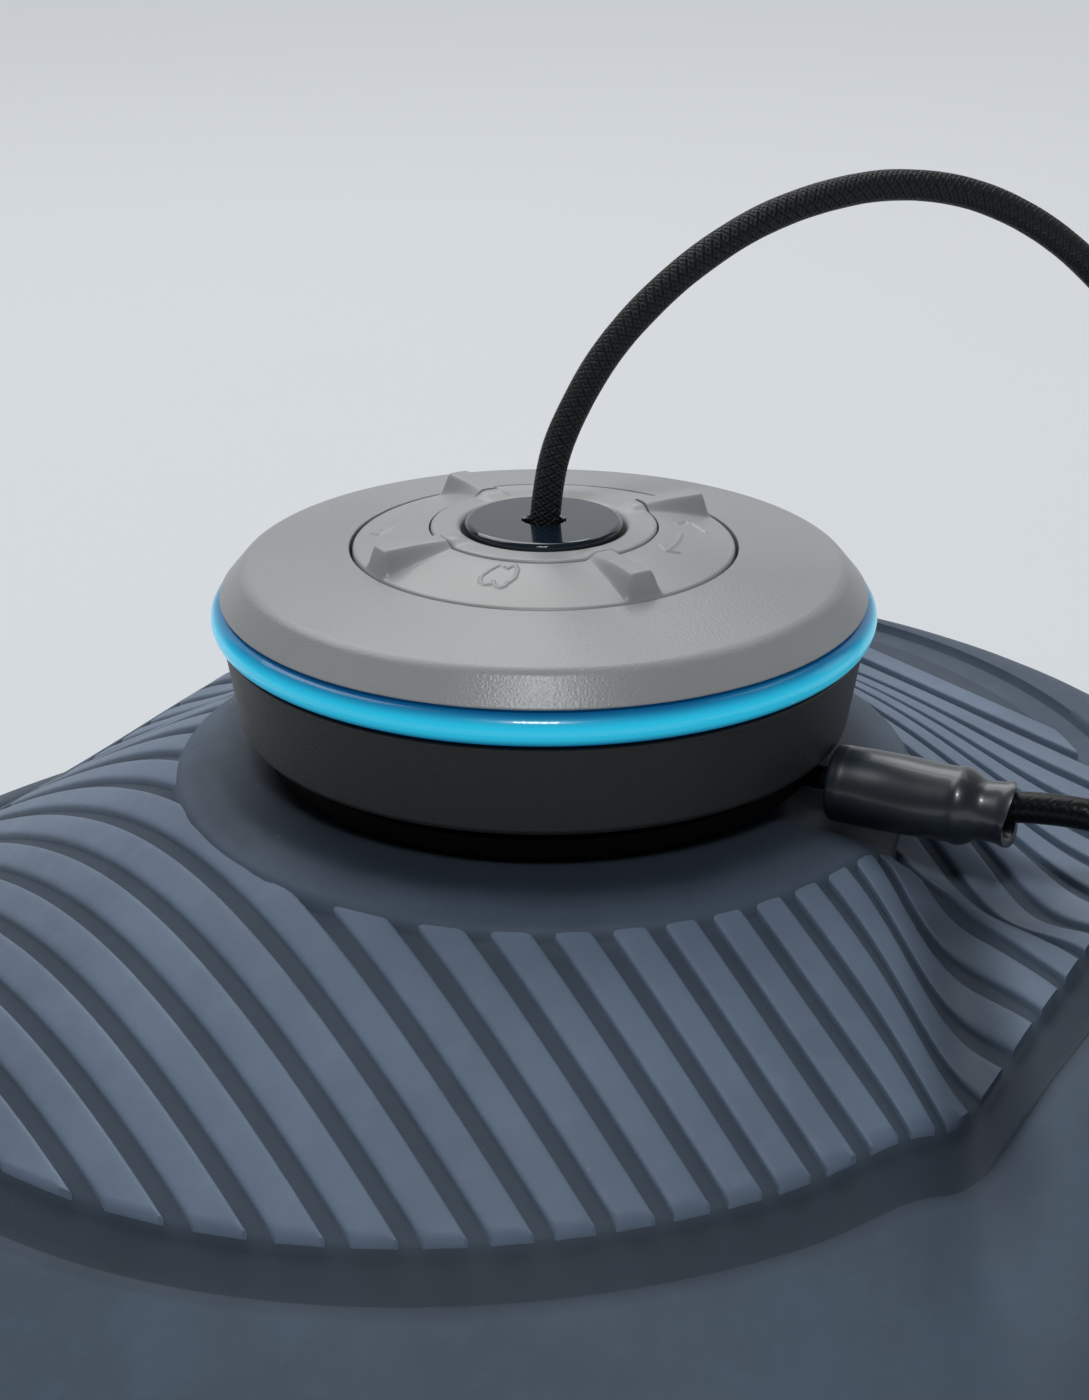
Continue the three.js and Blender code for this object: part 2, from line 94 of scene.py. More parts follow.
class Number:
    """A number that varies over a surface. Python's operators on it add Math nodes."""

    def __init__(self, bench: "ShaderBench", socket: bpy.types.NodeSocket) -> None:
        """Wraps a socket of a bench's node tree."""
        self.bench = bench
        self.socket = socket

    def _math(self, operation: str, *values: "Number | float") -> "Number":
        """Adds one Math node.

        Args:
            operation: The Math node's operation.
            values: Its operands, in order.

        Returns:
            The node's result.
        """
        node = self.bench.node("ShaderNodeMath", {"operation": operation}, dict(enumerate(values)))
        return Number(self.bench, node.outputs[0])

    def __add__(self, other: "Number | float") -> "Number":
        """Sum."""
        return self._math("ADD", self, other)

    __radd__ = __add__

    def __sub__(self, other: "Number | float") -> "Number":
        """Difference."""
        return self._math("SUBTRACT", self, other)

    def __rsub__(self, other: float) -> "Number":
        """Reflected difference."""
        return self._math("SUBTRACT", other, self)

    def __mul__(self, other: "Number | float") -> "Number":
        """Product."""
        return self._math("MULTIPLY", self, other)

    __rmul__ = __mul__

    def __truediv__(self, other: "Number | float") -> "Number":
        """Quotient."""
        return self._math("DIVIDE", self, other)

    def __rtruediv__(self, other: float) -> "Number":
        """Reflected quotient."""
        return self._math("DIVIDE", other, self)

    def __abs__(self) -> "Number":
        """Size without sign."""
        return self._math("ABSOLUTE", self)

    def sine(self) -> "Number":
        """Sine of an angle in radians."""
        return self._math("SINE", self)

    def root(self) -> "Number":
        """Square root."""
        return self._math("SQRT", self)

    def most(self, other: "Number | float") -> "Number":
        """The larger of two."""
        return self._math("MAXIMUM", self, other)

    def rise(self, start: float, end: float) -> "Number":
        """Smooth step from 0 at start to 1 at end.

        Args:
            start: Value that gives 0.
            end: Value that gives 1.

        Returns:
            The step, held to 0..1 outside them.
        """
        settings = {"interpolation_type": "SMOOTHSTEP"}
        inputs = {"Value": self, "From Min": start, "From Max": end}
        node = self.bench.node("ShaderNodeMapRange", settings, inputs)
        return Number(self.bench, node.outputs["Result"])


Colour = tuple[float, float, float]
Input = Number | bpy.types.NodeSocket | float | Sequence[float] | None


class ShaderBench:
    """One material under construction: its node tree and its Principled shader."""

    def __init__(self, name: str) -> None:
        """Starts a material with nothing but a Principled shader and an output."""
        self.material = bpy.data.materials.new(name)
        self.material.use_nodes = True
        self.tree = self.material.node_tree
        self.tree.nodes.clear()
        self.shader = self.node("ShaderNodeBsdfPrincipled", {}, {})
        self.node("ShaderNodeOutputMaterial", {}, {"Surface": self.shader.outputs[0]})

    def node(self, kind: str, settings: dict, inputs: dict) -> bpy.types.Node:
        """Adds a node.

        Args:
            kind: The node's type.
            settings: Its properties, set first.
            inputs: A value or a link for each socket, by name or number.

        Returns:
            The node.
        """
        node = self.tree.nodes.new(kind)
        for key, value in settings.items():
            setattr(node, key, value)
        self.feed(node, inputs)
        return node

    def feed(self, node: bpy.types.Node, inputs: dict) -> None:
        """Sets or links a node's input sockets, by name or number."""
        for key, value in inputs.items():
            socket = node.inputs[key]
            if isinstance(value, Number):
                self.tree.links.new(value.socket, socket)
            elif isinstance(value, bpy.types.NodeSocket):
                self.tree.links.new(value, socket)
            elif isinstance(value, tuple) and socket.type == "RGBA":
                socket.default_value = (*value, 1)
            else:
                socket.default_value = value

    def give(self, **inputs: Input) -> None:
        """Feeds the Principled shader, with an underscore for each space in a socket's name."""
        self.feed(self.shader, {key.replace("_", " "): value for key, value in inputs.items()})

    def place(self) -> bpy.types.NodeSocket:
        """The piece's own coordinates, in metres."""
        return self.node("ShaderNodeTexCoord", {}, {}).outputs["Object"]

    def axes(self, vector: bpy.types.NodeSocket | None = None) -> tuple[Number, Number, Number]:
        """The three parts of a vector, the piece's own coordinates by default.

        Args:
            vector: The vector to take apart.

        Returns:
            Its X, Y and Z.
        """
        source = self.place() if vector is None else vector
        parts = self.node("ShaderNodeSeparateXYZ", {}, {"Vector": source}).outputs
        return Number(self, parts[0]), Number(self, parts[1]), Number(self, parts[2])

    def noise(self, scale: float, detail: float = 3.0, stretch: Point = (1, 1, 1)) -> Number:
        """Cloudy noise, from about 0.25 to 0.75.

        Args:
            scale: Features per metre.
            detail: Octaves.
            stretch: Multiplier of the coordinates along each axis.

        Returns:
            The noise.
        """
        vector = self.place()
        if stretch != (1, 1, 1):
            vector = self.node("ShaderNodeMapping", {}, {"Vector": vector, "Scale": stretch}).outputs[0]
        inputs = {"Vector": vector, "Scale": scale, "Detail": detail}
        return Number(self, self.node("ShaderNodeTexNoise", {}, inputs).outputs[0])

    def cells(self, scale: float, feature: str = "F1") -> Number:
        """Distance inside scattered cells.

        Args:
            scale: Cells per metre.
            feature: The Voronoi feature to read.

        Returns:
            The distance, in cells.
        """
        inputs = {"Vector": self.place(), "Scale": scale}
        node = self.node("ShaderNodeTexVoronoi", {"feature": feature}, inputs)
        return Number(self, node.outputs["Distance"])

    def mix(self, mask: "Number | float", low: Input, high: Input) -> bpy.types.NodeSocket:
        """Blends two colours.

        Args:
            mask: 0 for low, 1 for high.
            low: The first colour.
            high: The second colour.

        Returns:
            The blended colour.
        """
        node = self.node("ShaderNodeMix", {"data_type": "RGBA"}, {0: mask, 6: low, 7: high})
        return node.outputs[2]

    def relief(self, height: Number, depth: float, under: Input = None) -> bpy.types.NodeSocket:
        """Turns a height into a bumped normal.

        Args:
            height: The relief, 0 to 1.
            depth: Its full height in millimetres.
            under: A relief that it lies on.

        Returns:
            The normal.
        """
        inputs = {"Height": height, "Distance": depth * MM, "Strength": 1.0}
        if under is not None:
            inputs["Normal"] = under
        return self.node("ShaderNodeBump", {}, inputs).outputs[0]


# ---- finishes --------------------------------------------------------------------------------


def tinted(colour: Colour, share: float) -> Colour:
    """A colour made lighter or darker by a factor."""
    return (colour[0] * share, colour[1] * share, colour[2] * share)


@dataclass(frozen=True)
class Finish:
    """A moulded, turned or printed surface: colour, gloss, wander of both, and fine relief."""

    name: str
    colour: Colour
    roughness: float
    metallic: float = 0.0
    coat: float = 0.0
    wander: float = 0.10      # share by which the colour drifts
    patch: float = 45.0       # drifts per metre
    smudge: float = 0.10      # how much the roughness drifts
    grain: float = 0.02       # height of the fine relief, mm
    grain_pitch: float = 0.45  # size of the fine relief, mm
    shine: float = 0.5        # specular level

    def material(self) -> bpy.types.Material:
        """The finish's material, made the first time it is asked for."""
        found = bpy.data.materials.get(self.name)
        if found:
            return found
        bench = ShaderBench(self.name)
        bench.give(Metallic=self.metallic, Coat_Weight=self.coat, Specular_IOR_Level=self.shine)
        self.paint(bench)
        return bench.material

    def ground(self, bench: ShaderBench) -> bpy.types.NodeSocket:
        """The base colour with its slow drift.

        Args:
            bench: The material under construction.

        Returns:
            The colour.
        """
        drift = bench.noise(self.patch, 4.0).rise(0.3, 0.7)
        return bench.mix(drift, tinted(self.colour, 1 - self.wander), tinted(self.colour, 1 + self.wander))

    def paint(self, bench: ShaderBench) -> None:
        """Dresses the shader with drifted colour, smudged gloss and grain."""
        smudges = bench.noise(self.patch * 4, 3.0)
        fine = bench.noise(1 / (self.grain_pitch * MM), 2.0)
        bench.give(
            Base_Color=self.ground(bench),
            Roughness=self.roughness + (smudges - 0.5) * self.smudge,
            Normal=bench.relief(fine, self.grain),
        )


@dataclass(frozen=True)
class Rubber(Finish):
    """Matt moulded rubber: faint bloom, fine stipple, specks of dust, and painted shade in set places."""

    specks: float = 0.5       # share of the possible dust specks that show
    shade_radius: float = 0.0  # painted shade round the seat lies inside this radius, mm
    field: tuple[float, float, float] | None = None  # centre and radius of the ribbed field, mm

    def paint(self, bench: ShaderBench) -> None:
        """Adds bloom, stipple and dust, and painted shade round the seat, in the field and in the channel
        and crease.
        """
        x, y, _ = bench.axes()
        colour = self.ground(bench)
        bloom = bench.noise(220.0, 5.0).rise(0.45, 0.8)
        colour = bench.mix(bloom * 0.16, colour, tinted(self.colour, 1.6))
        # painted shadow of the puck round its seat, strongest towards the front
        if self.shade_radius:
            radius = (x * x + y * y).root() / MM
            edge = radius + (bench.noise(60.0) - 0.5) * 6
            seat = 1 - edge.rise(self.shade_radius - 10, self.shade_radius + 2)
            front = (y / MM).rise(45, -40)
            colour = bench.mix(seat * (front * 0.75 + 0.15), colour, tinted(self.colour, 0.28))
        # painted shade on the ribbed field's floor between the ribs, and in its gutter towards the front
        if self.shade_radius and self.field:
            cx, cy, reach = self.field
            off_x, off_y = x / MM - cx, y / MM - cy
            out = (off_x * off_x + off_y * off_y).root()
            floor = (1 - out.rise(reach - 1, reach + 1)) * radius.rise(61, 64)
            colour = bench.mix(floor * 0.6, colour, tinted(self.colour, 0.55))
            gutter = out.rise(reach - 1, reach + 1) * (1 - out.rise(reach + 7,
                    reach + 10)) * (y / MM).rise(10, -30)
            colour = bench.mix(gutter * 0.8, colour, tinted(self.colour, 0.32))
        # painted shade in the sleeve's channel and the front right crease
        colour = bench.mix(self.hollow_shade(x / MM, y / MM) * 0.75, colour, tinted(self.colour, 0.25))
        dust = (1 - bench.cells(150.0).rise(0.018,
                                            0.045)) * bench.noise(35.0).rise(0.62 - self.specks * 0.2, 0.7)
        colour = bench.mix(dust * 0.6, colour, (0.42, 0.45, 0.48))
        stipple = bench.noise(1 / (self.grain_pitch * MM), 2.0)
        pores = bench.noise(320.0, 3.0)
        bench.give(
            Base_Color=colour,
            Roughness=self.roughness + (pores - 0.5) * self.smudge + dust * 0.2,
            Normal=bench.relief(stipple, self.grain, bench.relief(pores, 0.05)),
        )

    @staticmethod
    def hollow_shade(x: Number, y: Number) -> Number:
        """Where the painted shade of the sleeve's channel and of the front right crease lies.

        Args:
            x: Place in mm.
            y: Place in mm.

        Returns:
            Its share, 0 to 1.
        """
        bearing = math.radians(-25)
        along = x * math.cos(bearing) + y * math.sin(bearing)
        across = abs(y * math.cos(bearing) - x * math.sin(bearing) + 3.0)
        channel = (1 - across.rise(3, 13)) * along.rise(42, 52) * (1 - along.rise(78, 100))
        crease = (1 - abs(x - 63).rise(1, 11)) * y.rise(-25, -42) * (1 - y.rise(-72, -100))
        return channel.most(crease)


@dataclass(frozen=True)
class Moulding(Finish):
    """Spark-textured plastic, with its texture worn smoother where hands and edges rub."""

    rub_height: float = 0.0   # height above which the surface is rubbed, mm; 0 for nowhere

    def paint(self, bench: ShaderBench) -> None:
        """Adds the spark texture, rubbed patches and fine scratches."""
        _, _, z = bench.axes()
        pits = bench.cells(1 / (self.grain_pitch * MM), "SMOOTH_F1")
        fine = bench.noise(1.6 / (self.grain_pitch * MM), 2.0)
        smudges = bench.noise(self.patch * 2, 4.0)
        scratches = bench.noise(900.0, 2.0, (1, 0.06, 1)).rise(0.66, 0.72)
        rough = self.roughness + (smudges - 0.5) * self.smudge + scratches * 0.06
        if self.rub_height:
            rubbed = (z / MM).rise(self.rub_height - 0.5, self.rub_height + 0.3) * smudges.rise(0.35, 0.6)
            rough = rough - rubbed * 0.04
        colour = bench.mix(fine.rise(0.35, 0.75) * 0.12, self.ground(bench), tinted(self.colour, 1.35))
        bench.give(
            Base_Color=colour,
            Roughness=rough,
            Normal=bench.relief(fine, self.grain, bench.relief(pits, self.grain * 1.6)),
        )


@dataclass(frozen=True)
class LightPipe(Finish):
    """Translucent light ring: its own glow, with a painted highlight along its crown and painted shade at
    both edges.
    """

    crown: float = 0.0        # height of the ring's centre, mm
    half: float = 1.0         # half its height, mm

    def paint(self, bench: ShaderBench) -> None:
        """Darkens colour and glow towards the section's edges as painted shade, and lets the ring glow."""
        _, _, z = bench.axes()
        off = abs(z / MM - self.crown) / self.half
        # painted shade towards both edges of the section, in colour and glow; the bright crown is a painted
        # highlight
        deep = off.rise(0.25, 1.0)
        cloud = bench.noise(30.0, 3.0).rise(0.3, 0.7)
        colour = bench.mix(deep, self.colour, (0.002, 0.085, 0.26))
        colour = bench.mix(cloud * 0.18, colour, (0.02, 0.50, 0.80))
        bench.give(
            Base_Color=colour,
            Roughness=self.roughness + (bench.noise(400.0) - 0.5) * self.smudge,
            Emission_Color=bench.mix(deep, (0.035, 0.56, 0.80), (0.0, 0.04, 0.12)),
            Emission_Strength=0.5,
            Normal=bench.relief(bench.noise(700.0, 2.0), self.grain),
        )


@dataclass(frozen=True)
class Braid(Finish):
    """Woven jacket of a cord, laid by its UV map: once round across, metres along."""

    strands: int = 12         # strands that lean each way
    lay: float = 5.0          # length of one strand's turn, mm
    depth: float = 0.22       # height of the weave, mm
    thread: Colour = (0.020, 0.021, 0.024)

    def paint(self, bench: ShaderBench) -> None:
        """Weaves two families of strands over and under each other."""
        uv = bench.node("ShaderNodeUVMap", {"uv_map": "along"}, {}).outputs[0]
        around, along, _ = bench.axes(uv)
        turn = around * self.strands
        climb = along * (self.strands / (self.lay * MM) / 2)
        left = ((turn + climb) * math.pi).sine()
        right = ((turn - climb) * math.pi).sine()
        over = (turn * math.pi).sine() * (climb * math.pi).sine()
        weave = (abs(left) * (over * 0.5 + 0.5) + abs(right) * (0.5 - over * 0.5)).rise(0.1, 0.95)
        fuzz = bench.noise(2600.0, 3.0)
        colour = bench.mix(weave, tinted(self.colour, 0.35), self.thread)
        colour = bench.mix(fuzz.rise(0.5, 0.8) * 0.35, colour, tinted(self.thread, 1.8))
        bench.give(
            Base_Color=colour,
            Roughness=self.roughness + (fuzz - 0.5) * self.smudge,
            Normal=bench.relief(fuzz, self.grain, bench.relief(weave, self.depth)),
        )


@dataclass(frozen=True)
class Metal(Finish):
    """Bright turned or plated metal with a brushed lay and dull spots."""

    def paint(self, bench: ShaderBench) -> None:
        """Brushes the surface round its axis and dulls it in spots."""
        lay = bench.noise(1500.0, 3.0, (1, 1, 0.08))
        spots = bench.noise(160.0, 4.0).rise(0.55, 0.75)
        bench.give(
            Base_Color=bench.mix(spots * 0.5, self.ground(bench), tinted(self.colour, 0.6)),
            Roughness=self.roughness + (lay - 0.5) * self.smudge + spots * 0.12,
            Normal=bench.relief(lay, self.grain),
        )


@dataclass(frozen=True)
class Circuit(Finish):
    """Green solder mask over copper tracks, with tinned pads."""

    def paint(self, bench: ShaderBench) -> None:
        """Draws tracks as cell borders and pads as spots."""
        tracks = 1 - bench.cells(260.0, "DISTANCE_TO_EDGE").rise(0.03, 0.07)
        pads = 1 - bench.cells(420.0).rise(0.12, 0.16)
        colour = bench.mix(tracks * 0.6, self.ground(bench), tinted(self.colour, 2.4))
        bench.give(
            Base_Color=bench.mix(pads, colour, (0.55, 0.5, 0.42)),
            Roughness=self.roughness - pads * 0.1,
            Metallic=pads,
            Normal=bench.relief(tracks.most(pads), 0.04),
        )


@dataclass(frozen=True)
class StudioPaper(Finish):
    """Pale backdrop paper, partly self-lit, so that it is pale without strong light on the object."""

    glow: float = 1.64        # strength of its own light

    def paint(self, bench: ShaderBench) -> None:
        """Dresses the paper."""
        colour = self.ground(bench)
        bench.give(Base_Color=colour, Roughness=self.roughness, Emission_Color=colour,
                   Emission_Strength=self.glow)


# SKIN holds the ribs' rubber set darker: painted shade of the groove floors between the ribs
SKIN = Rubber("skin_rubber", (0.078, 0.106, 0.147), 0.60, grain=0.03, shine=0.25, shade_radius=62.0,
              field=(-10.0, 6.0, 108.0))
RIBS = Rubber("rib_rubber", (0.143, 0.190, 0.262), 0.52, grain=0.03, wander=0.08, specks=0.9, shine=0.3)
BASE_RUBBER = Rubber("base_rubber", (0.080, 0.105, 0.140), 0.62, grain=0.03, shine=0.35)
GRIP_RUBBER = Rubber("grip_rubber", (0.012, 0.013, 0.015), 0.75, grain=0.05)
COVER = Moulding("cover_plastic", (0.312, 0.318, 0.320), 0.33, wander=0.035, grain=0.022, grain_pitch=0.36)
DIAL_PLASTIC = Moulding("dial_plastic", (0.345, 0.350, 0.350), 0.36, wander=0.03, grain=0.012,
                        grain_pitch=0.3, rub_height=119.8)
HOUSING = Moulding("housing_plastic", (0.014, 0.0152, 0.0150), 0.50, wander=0.08, grain=0.02,
                   grain_pitch=0.36)
FLANGE = Moulding("flange_plastic", (0.002, 0.002, 0.0022), 0.8, grain=0.02, shine=0.12)
PLUG = Moulding("plug_moulding", (0.014, 0.014, 0.016), 0.42, grain=0.015)
GLOSS = Finish("button_gloss", (0.005, 0.012, 0.022), 0.12, shine=0.4, coat=0.6, wander=0.2, smudge=0.12,
               grain=0.002)
SHRINK = Finish("shrink_tube", (0.007, 0.011, 0.017), 0.38, coat=0.3, shine=0.9, wander=0.2, smudge=0.12,
                grain=0.012, grain_pitch=1.6)
GLOW = LightPipe("light_pipe", (0.004, 0.38, 0.58), 0.24, coat=0.3, shine=0.35, crown=106.8, half=2.7,
                 grain=0.01)
BRAID = Braid("cord_braid", (0.005, 0.0058, 0.0075), 0.5, grain=0.05, shine=0.3,
              thread=(0.012, 0.013, 0.016))
JACKET = Braid("satin_jacket", (0.003, 0.0035, 0.0045), 0.34, strands=8, lay=6.0, depth=0.03,
               thread=(0.003, 0.0035, 0.0045), grain=0.01, shine=0.2)
STEEL = Metal("bright_steel", (0.52, 0.53, 0.54), 0.30, metallic=1.0, wander=0.06, grain=0.008)
PLATED = Metal("bright_plating", (0.72, 0.72, 0.73), 0.18, metallic=1.0, wander=0.04, grain=0.004)
BOARD = Circuit("printed_board", (0.012, 0.085, 0.038), 0.35, grain=0.0)
TIE = Finish("tie_strap", (0.015, 0.015, 0.017), 0.8, grain=0.12, grain_pitch=0.9)


# ---- modelling bench -------------------------------------------------------------------------


class Blank:
    """Meshes on the bench, in metres, that become one piece."""

    def __init__(self) -> None:
        """Starts empty."""
        self.bm = bmesh.new()

    def take(self, part: bmesh.types.BMesh, place: Matrix | None = None) -> "Blank":
        """Adds a finished part and frees it.

        Args:
            part: The part, with its faces pointing outwards.
            place: Where it goes.

        Returns:
            The blank.
        """
        if place is not None:
            bmesh.ops.transform(part, matrix=place, verts=part.verts)
        mesh = bpy.data.meshes.new("part")
        part.to_mesh(mesh)
        part.free()
        self.bm.from_mesh(mesh)
        bpy.data.meshes.remove(mesh)
        return self

    def turn(self, profile: Profile, steps: int = 192, place: Matrix | None = None,
             arc: float = 360.0, start: float = 0.0, fillet_segments: int = 4) -> "Blank":
        """Spins a profile about Z.

        Args:
            profile: Corners of the section, each with its rounding. It closes on itself, unless both
                of its ends lie on the axis.
            steps: Facets round the turn.
            place: Where the turned part goes.
            arc: Degrees that it covers.
            start: Bearing where it starts.
            fillet_segments: Segments of each rounding.

        Returns:
            The blank.
        """
        part = bmesh.new()
        corners = [part.verts.new((r * MM, 0, z * MM)) for r, z, _ in profile]
        on_axis = profile[0][0] == 0 and profile[-1][0] == 0
        ends = corners[1:] if on_axis else corners[1:] + corners[:1]
        for a, b in zip(corners, ends):
            part.edges.new((a, b))
        for corner, (_, _, rounding) in zip(corners, profile):
            if rounding:
                bmesh.ops.bevel(part, geom=[corner], offset=rounding * MM, offset_type="OFFSET",
                                affect="VERTICES", segments=fillet_segments, profile=0.5, material=-1)
        whole = arc >= 360
        if not whole and not on_axis:
            bmesh.ops.contextual_create(part, geom=part.edges[:])
        bmesh.ops.rotate(part, verts=part.verts, matrix=Matrix.Rotation(math.radians(start), 3, "Z"))
        bmesh.ops.spin(part, geom=part.verts[:] + part.edges[:] + part.faces[:], cent=(0, 0, 0),
                       axis=(0, 0, 1), angle=math.radians(arc), steps=steps, use_merge=whole)
        bmesh.ops.remove_doubles(part, verts=part.verts, dist=0.002 * MM)
        bmesh.ops.recalc_face_normals(part, faces=part.faces)
        return self.take(part, place)

    def sheet(self, columns: int, rows: int, spot: Callable[[float, float], Vector],
              ring: bool = False, wall: float = 0.0, along: Callable[[float], float] | None = None,
              caps: bool = False) -> "Blank":
        """Maps a flat grid onto a surface.

        Args:
            columns: Faces across the grid.
            rows: Faces along it.
            spot: Gives the point in metres for a place across and along, each 0 to 1.
            ring: The two side edges meet, and so do the ends if spot brings them together.
            wall: Thickness in mm by which the sheet is extruded downwards.
            along: Length in metres up to a place along, for the "along" UV map.
            caps: Fill the two ends.

        Returns:
            The blank.
        """
        part = bmesh.new()
        uv = part.loops.layers.uv.new("along") if along else None
        bmesh.ops.create_grid(part, x_segments=columns, y_segments=rows, size=1.0, calc_uvs=bool(along))
        if uv:
            for face in part.faces:
                for loop in face.loops:
                    x, y, _ = loop.vert.co
                    loop[uv].uv = ((x + 1) / 2, along((y + 1) / 2))
        for vert in part.verts:
            vert.co = spot((vert.co.x + 1) / 2, (vert.co.y + 1) / 2)
        if ring:
            bmesh.ops.remove_doubles(part, verts=part.verts, dist=0.002 * MM)
        if caps:
            rims = [edge for edge in part.edges if edge.is_boundary]
            bmesh.ops.holes_fill(part, edges=rims, sides=0)
        if wall:
            lifted = bmesh.ops.extrude_face_region(part, geom=part.faces[:])["geom"]
            verts = [item for item in lifted if isinstance(item, bmesh.types.BMVert)]
            bmesh.ops.translate(part, verts=verts, vec=(0, 0, -wall * MM))
        bmesh.ops.recalc_face_normals(part, faces=part.faces)
        return self.take(part)

    def block(self, low: Point, high: Point, rounding: float, segments: int = 3) -> "Blank":
        """Adds a block with rounded edges.

        Args:
            low: Its lowest corner.
            high: Its highest corner.
            rounding: Radius of its edges.
            segments: Segments of the rounding.

        Returns:
            The blank.
        """
        part = bmesh.new()
        bmesh.ops.create_cube(part, size=1.0)
        sides = Vector(high) - Vector(low)
        bmesh.ops.scale(part, verts=part.verts, vec=sides * MM)
        bmesh.ops.translate(part, verts=part.verts, vec=(Vector(low) + Vector(high)) / 2 * MM)
        bmesh.ops.bevel(part, geom=part.edges[:], offset=rounding * MM, offset_type="OFFSET", affect="EDGES",
                        segments=segments, profile=0.5, material=-1)
        return self.take(part)

    def stir(self, shift: Callable[[Vector], Vector]) -> "Blank":
        """Moves every vertex to where shift puts it."""
        for vert in self.bm.verts:
            vert.co = shift(vert.co)
        return self

    def piece(self, name: str, finish: Finish, crease: float = 40.0, even: bool = True) -> bpy.types.Object:
        """Turns the blank into a finished object.

        Args:
            name: The piece's name.
            finish: What its surface is.
            crease: Edges sharper than this many degrees stay sharp.
            even: Large faces win over fillets when normals are averaged.

        Returns:
            The object, at the origin.
        """
        mesh = bpy.data.meshes.new(name)
        self.bm.to_mesh(mesh)
        self.bm.free()
        mesh.shade_smooth()
        mesh.set_sharp_from_angle(angle=math.radians(crease))
        mesh.materials.append(finish.material())
        obj = bpy.data.objects.new(name, mesh)
        bpy.context.scene.collection.objects.link(obj)
        if even:
            weigh = obj.modifiers.new("even_normals", "WEIGHTED_NORMAL")
            weigh.keep_sharp = True
        LOG.info("%s: %d faces", name, len(mesh.polygons))
        return obj


def lying(bearing: float, height: float) -> Matrix:
    """Lays a part turned about Z along a bearing, so that its height runs away from the puck's axis."""
    return (Matrix.Translation((0, 0, height * MM)) @ Matrix.Rotation(math.radians(bearing), 4, "Z")
            @ Matrix.Rotation(math.pi / 2, 4, "Y"))


# ---- cushion ---------------------------------------------------------------------------------


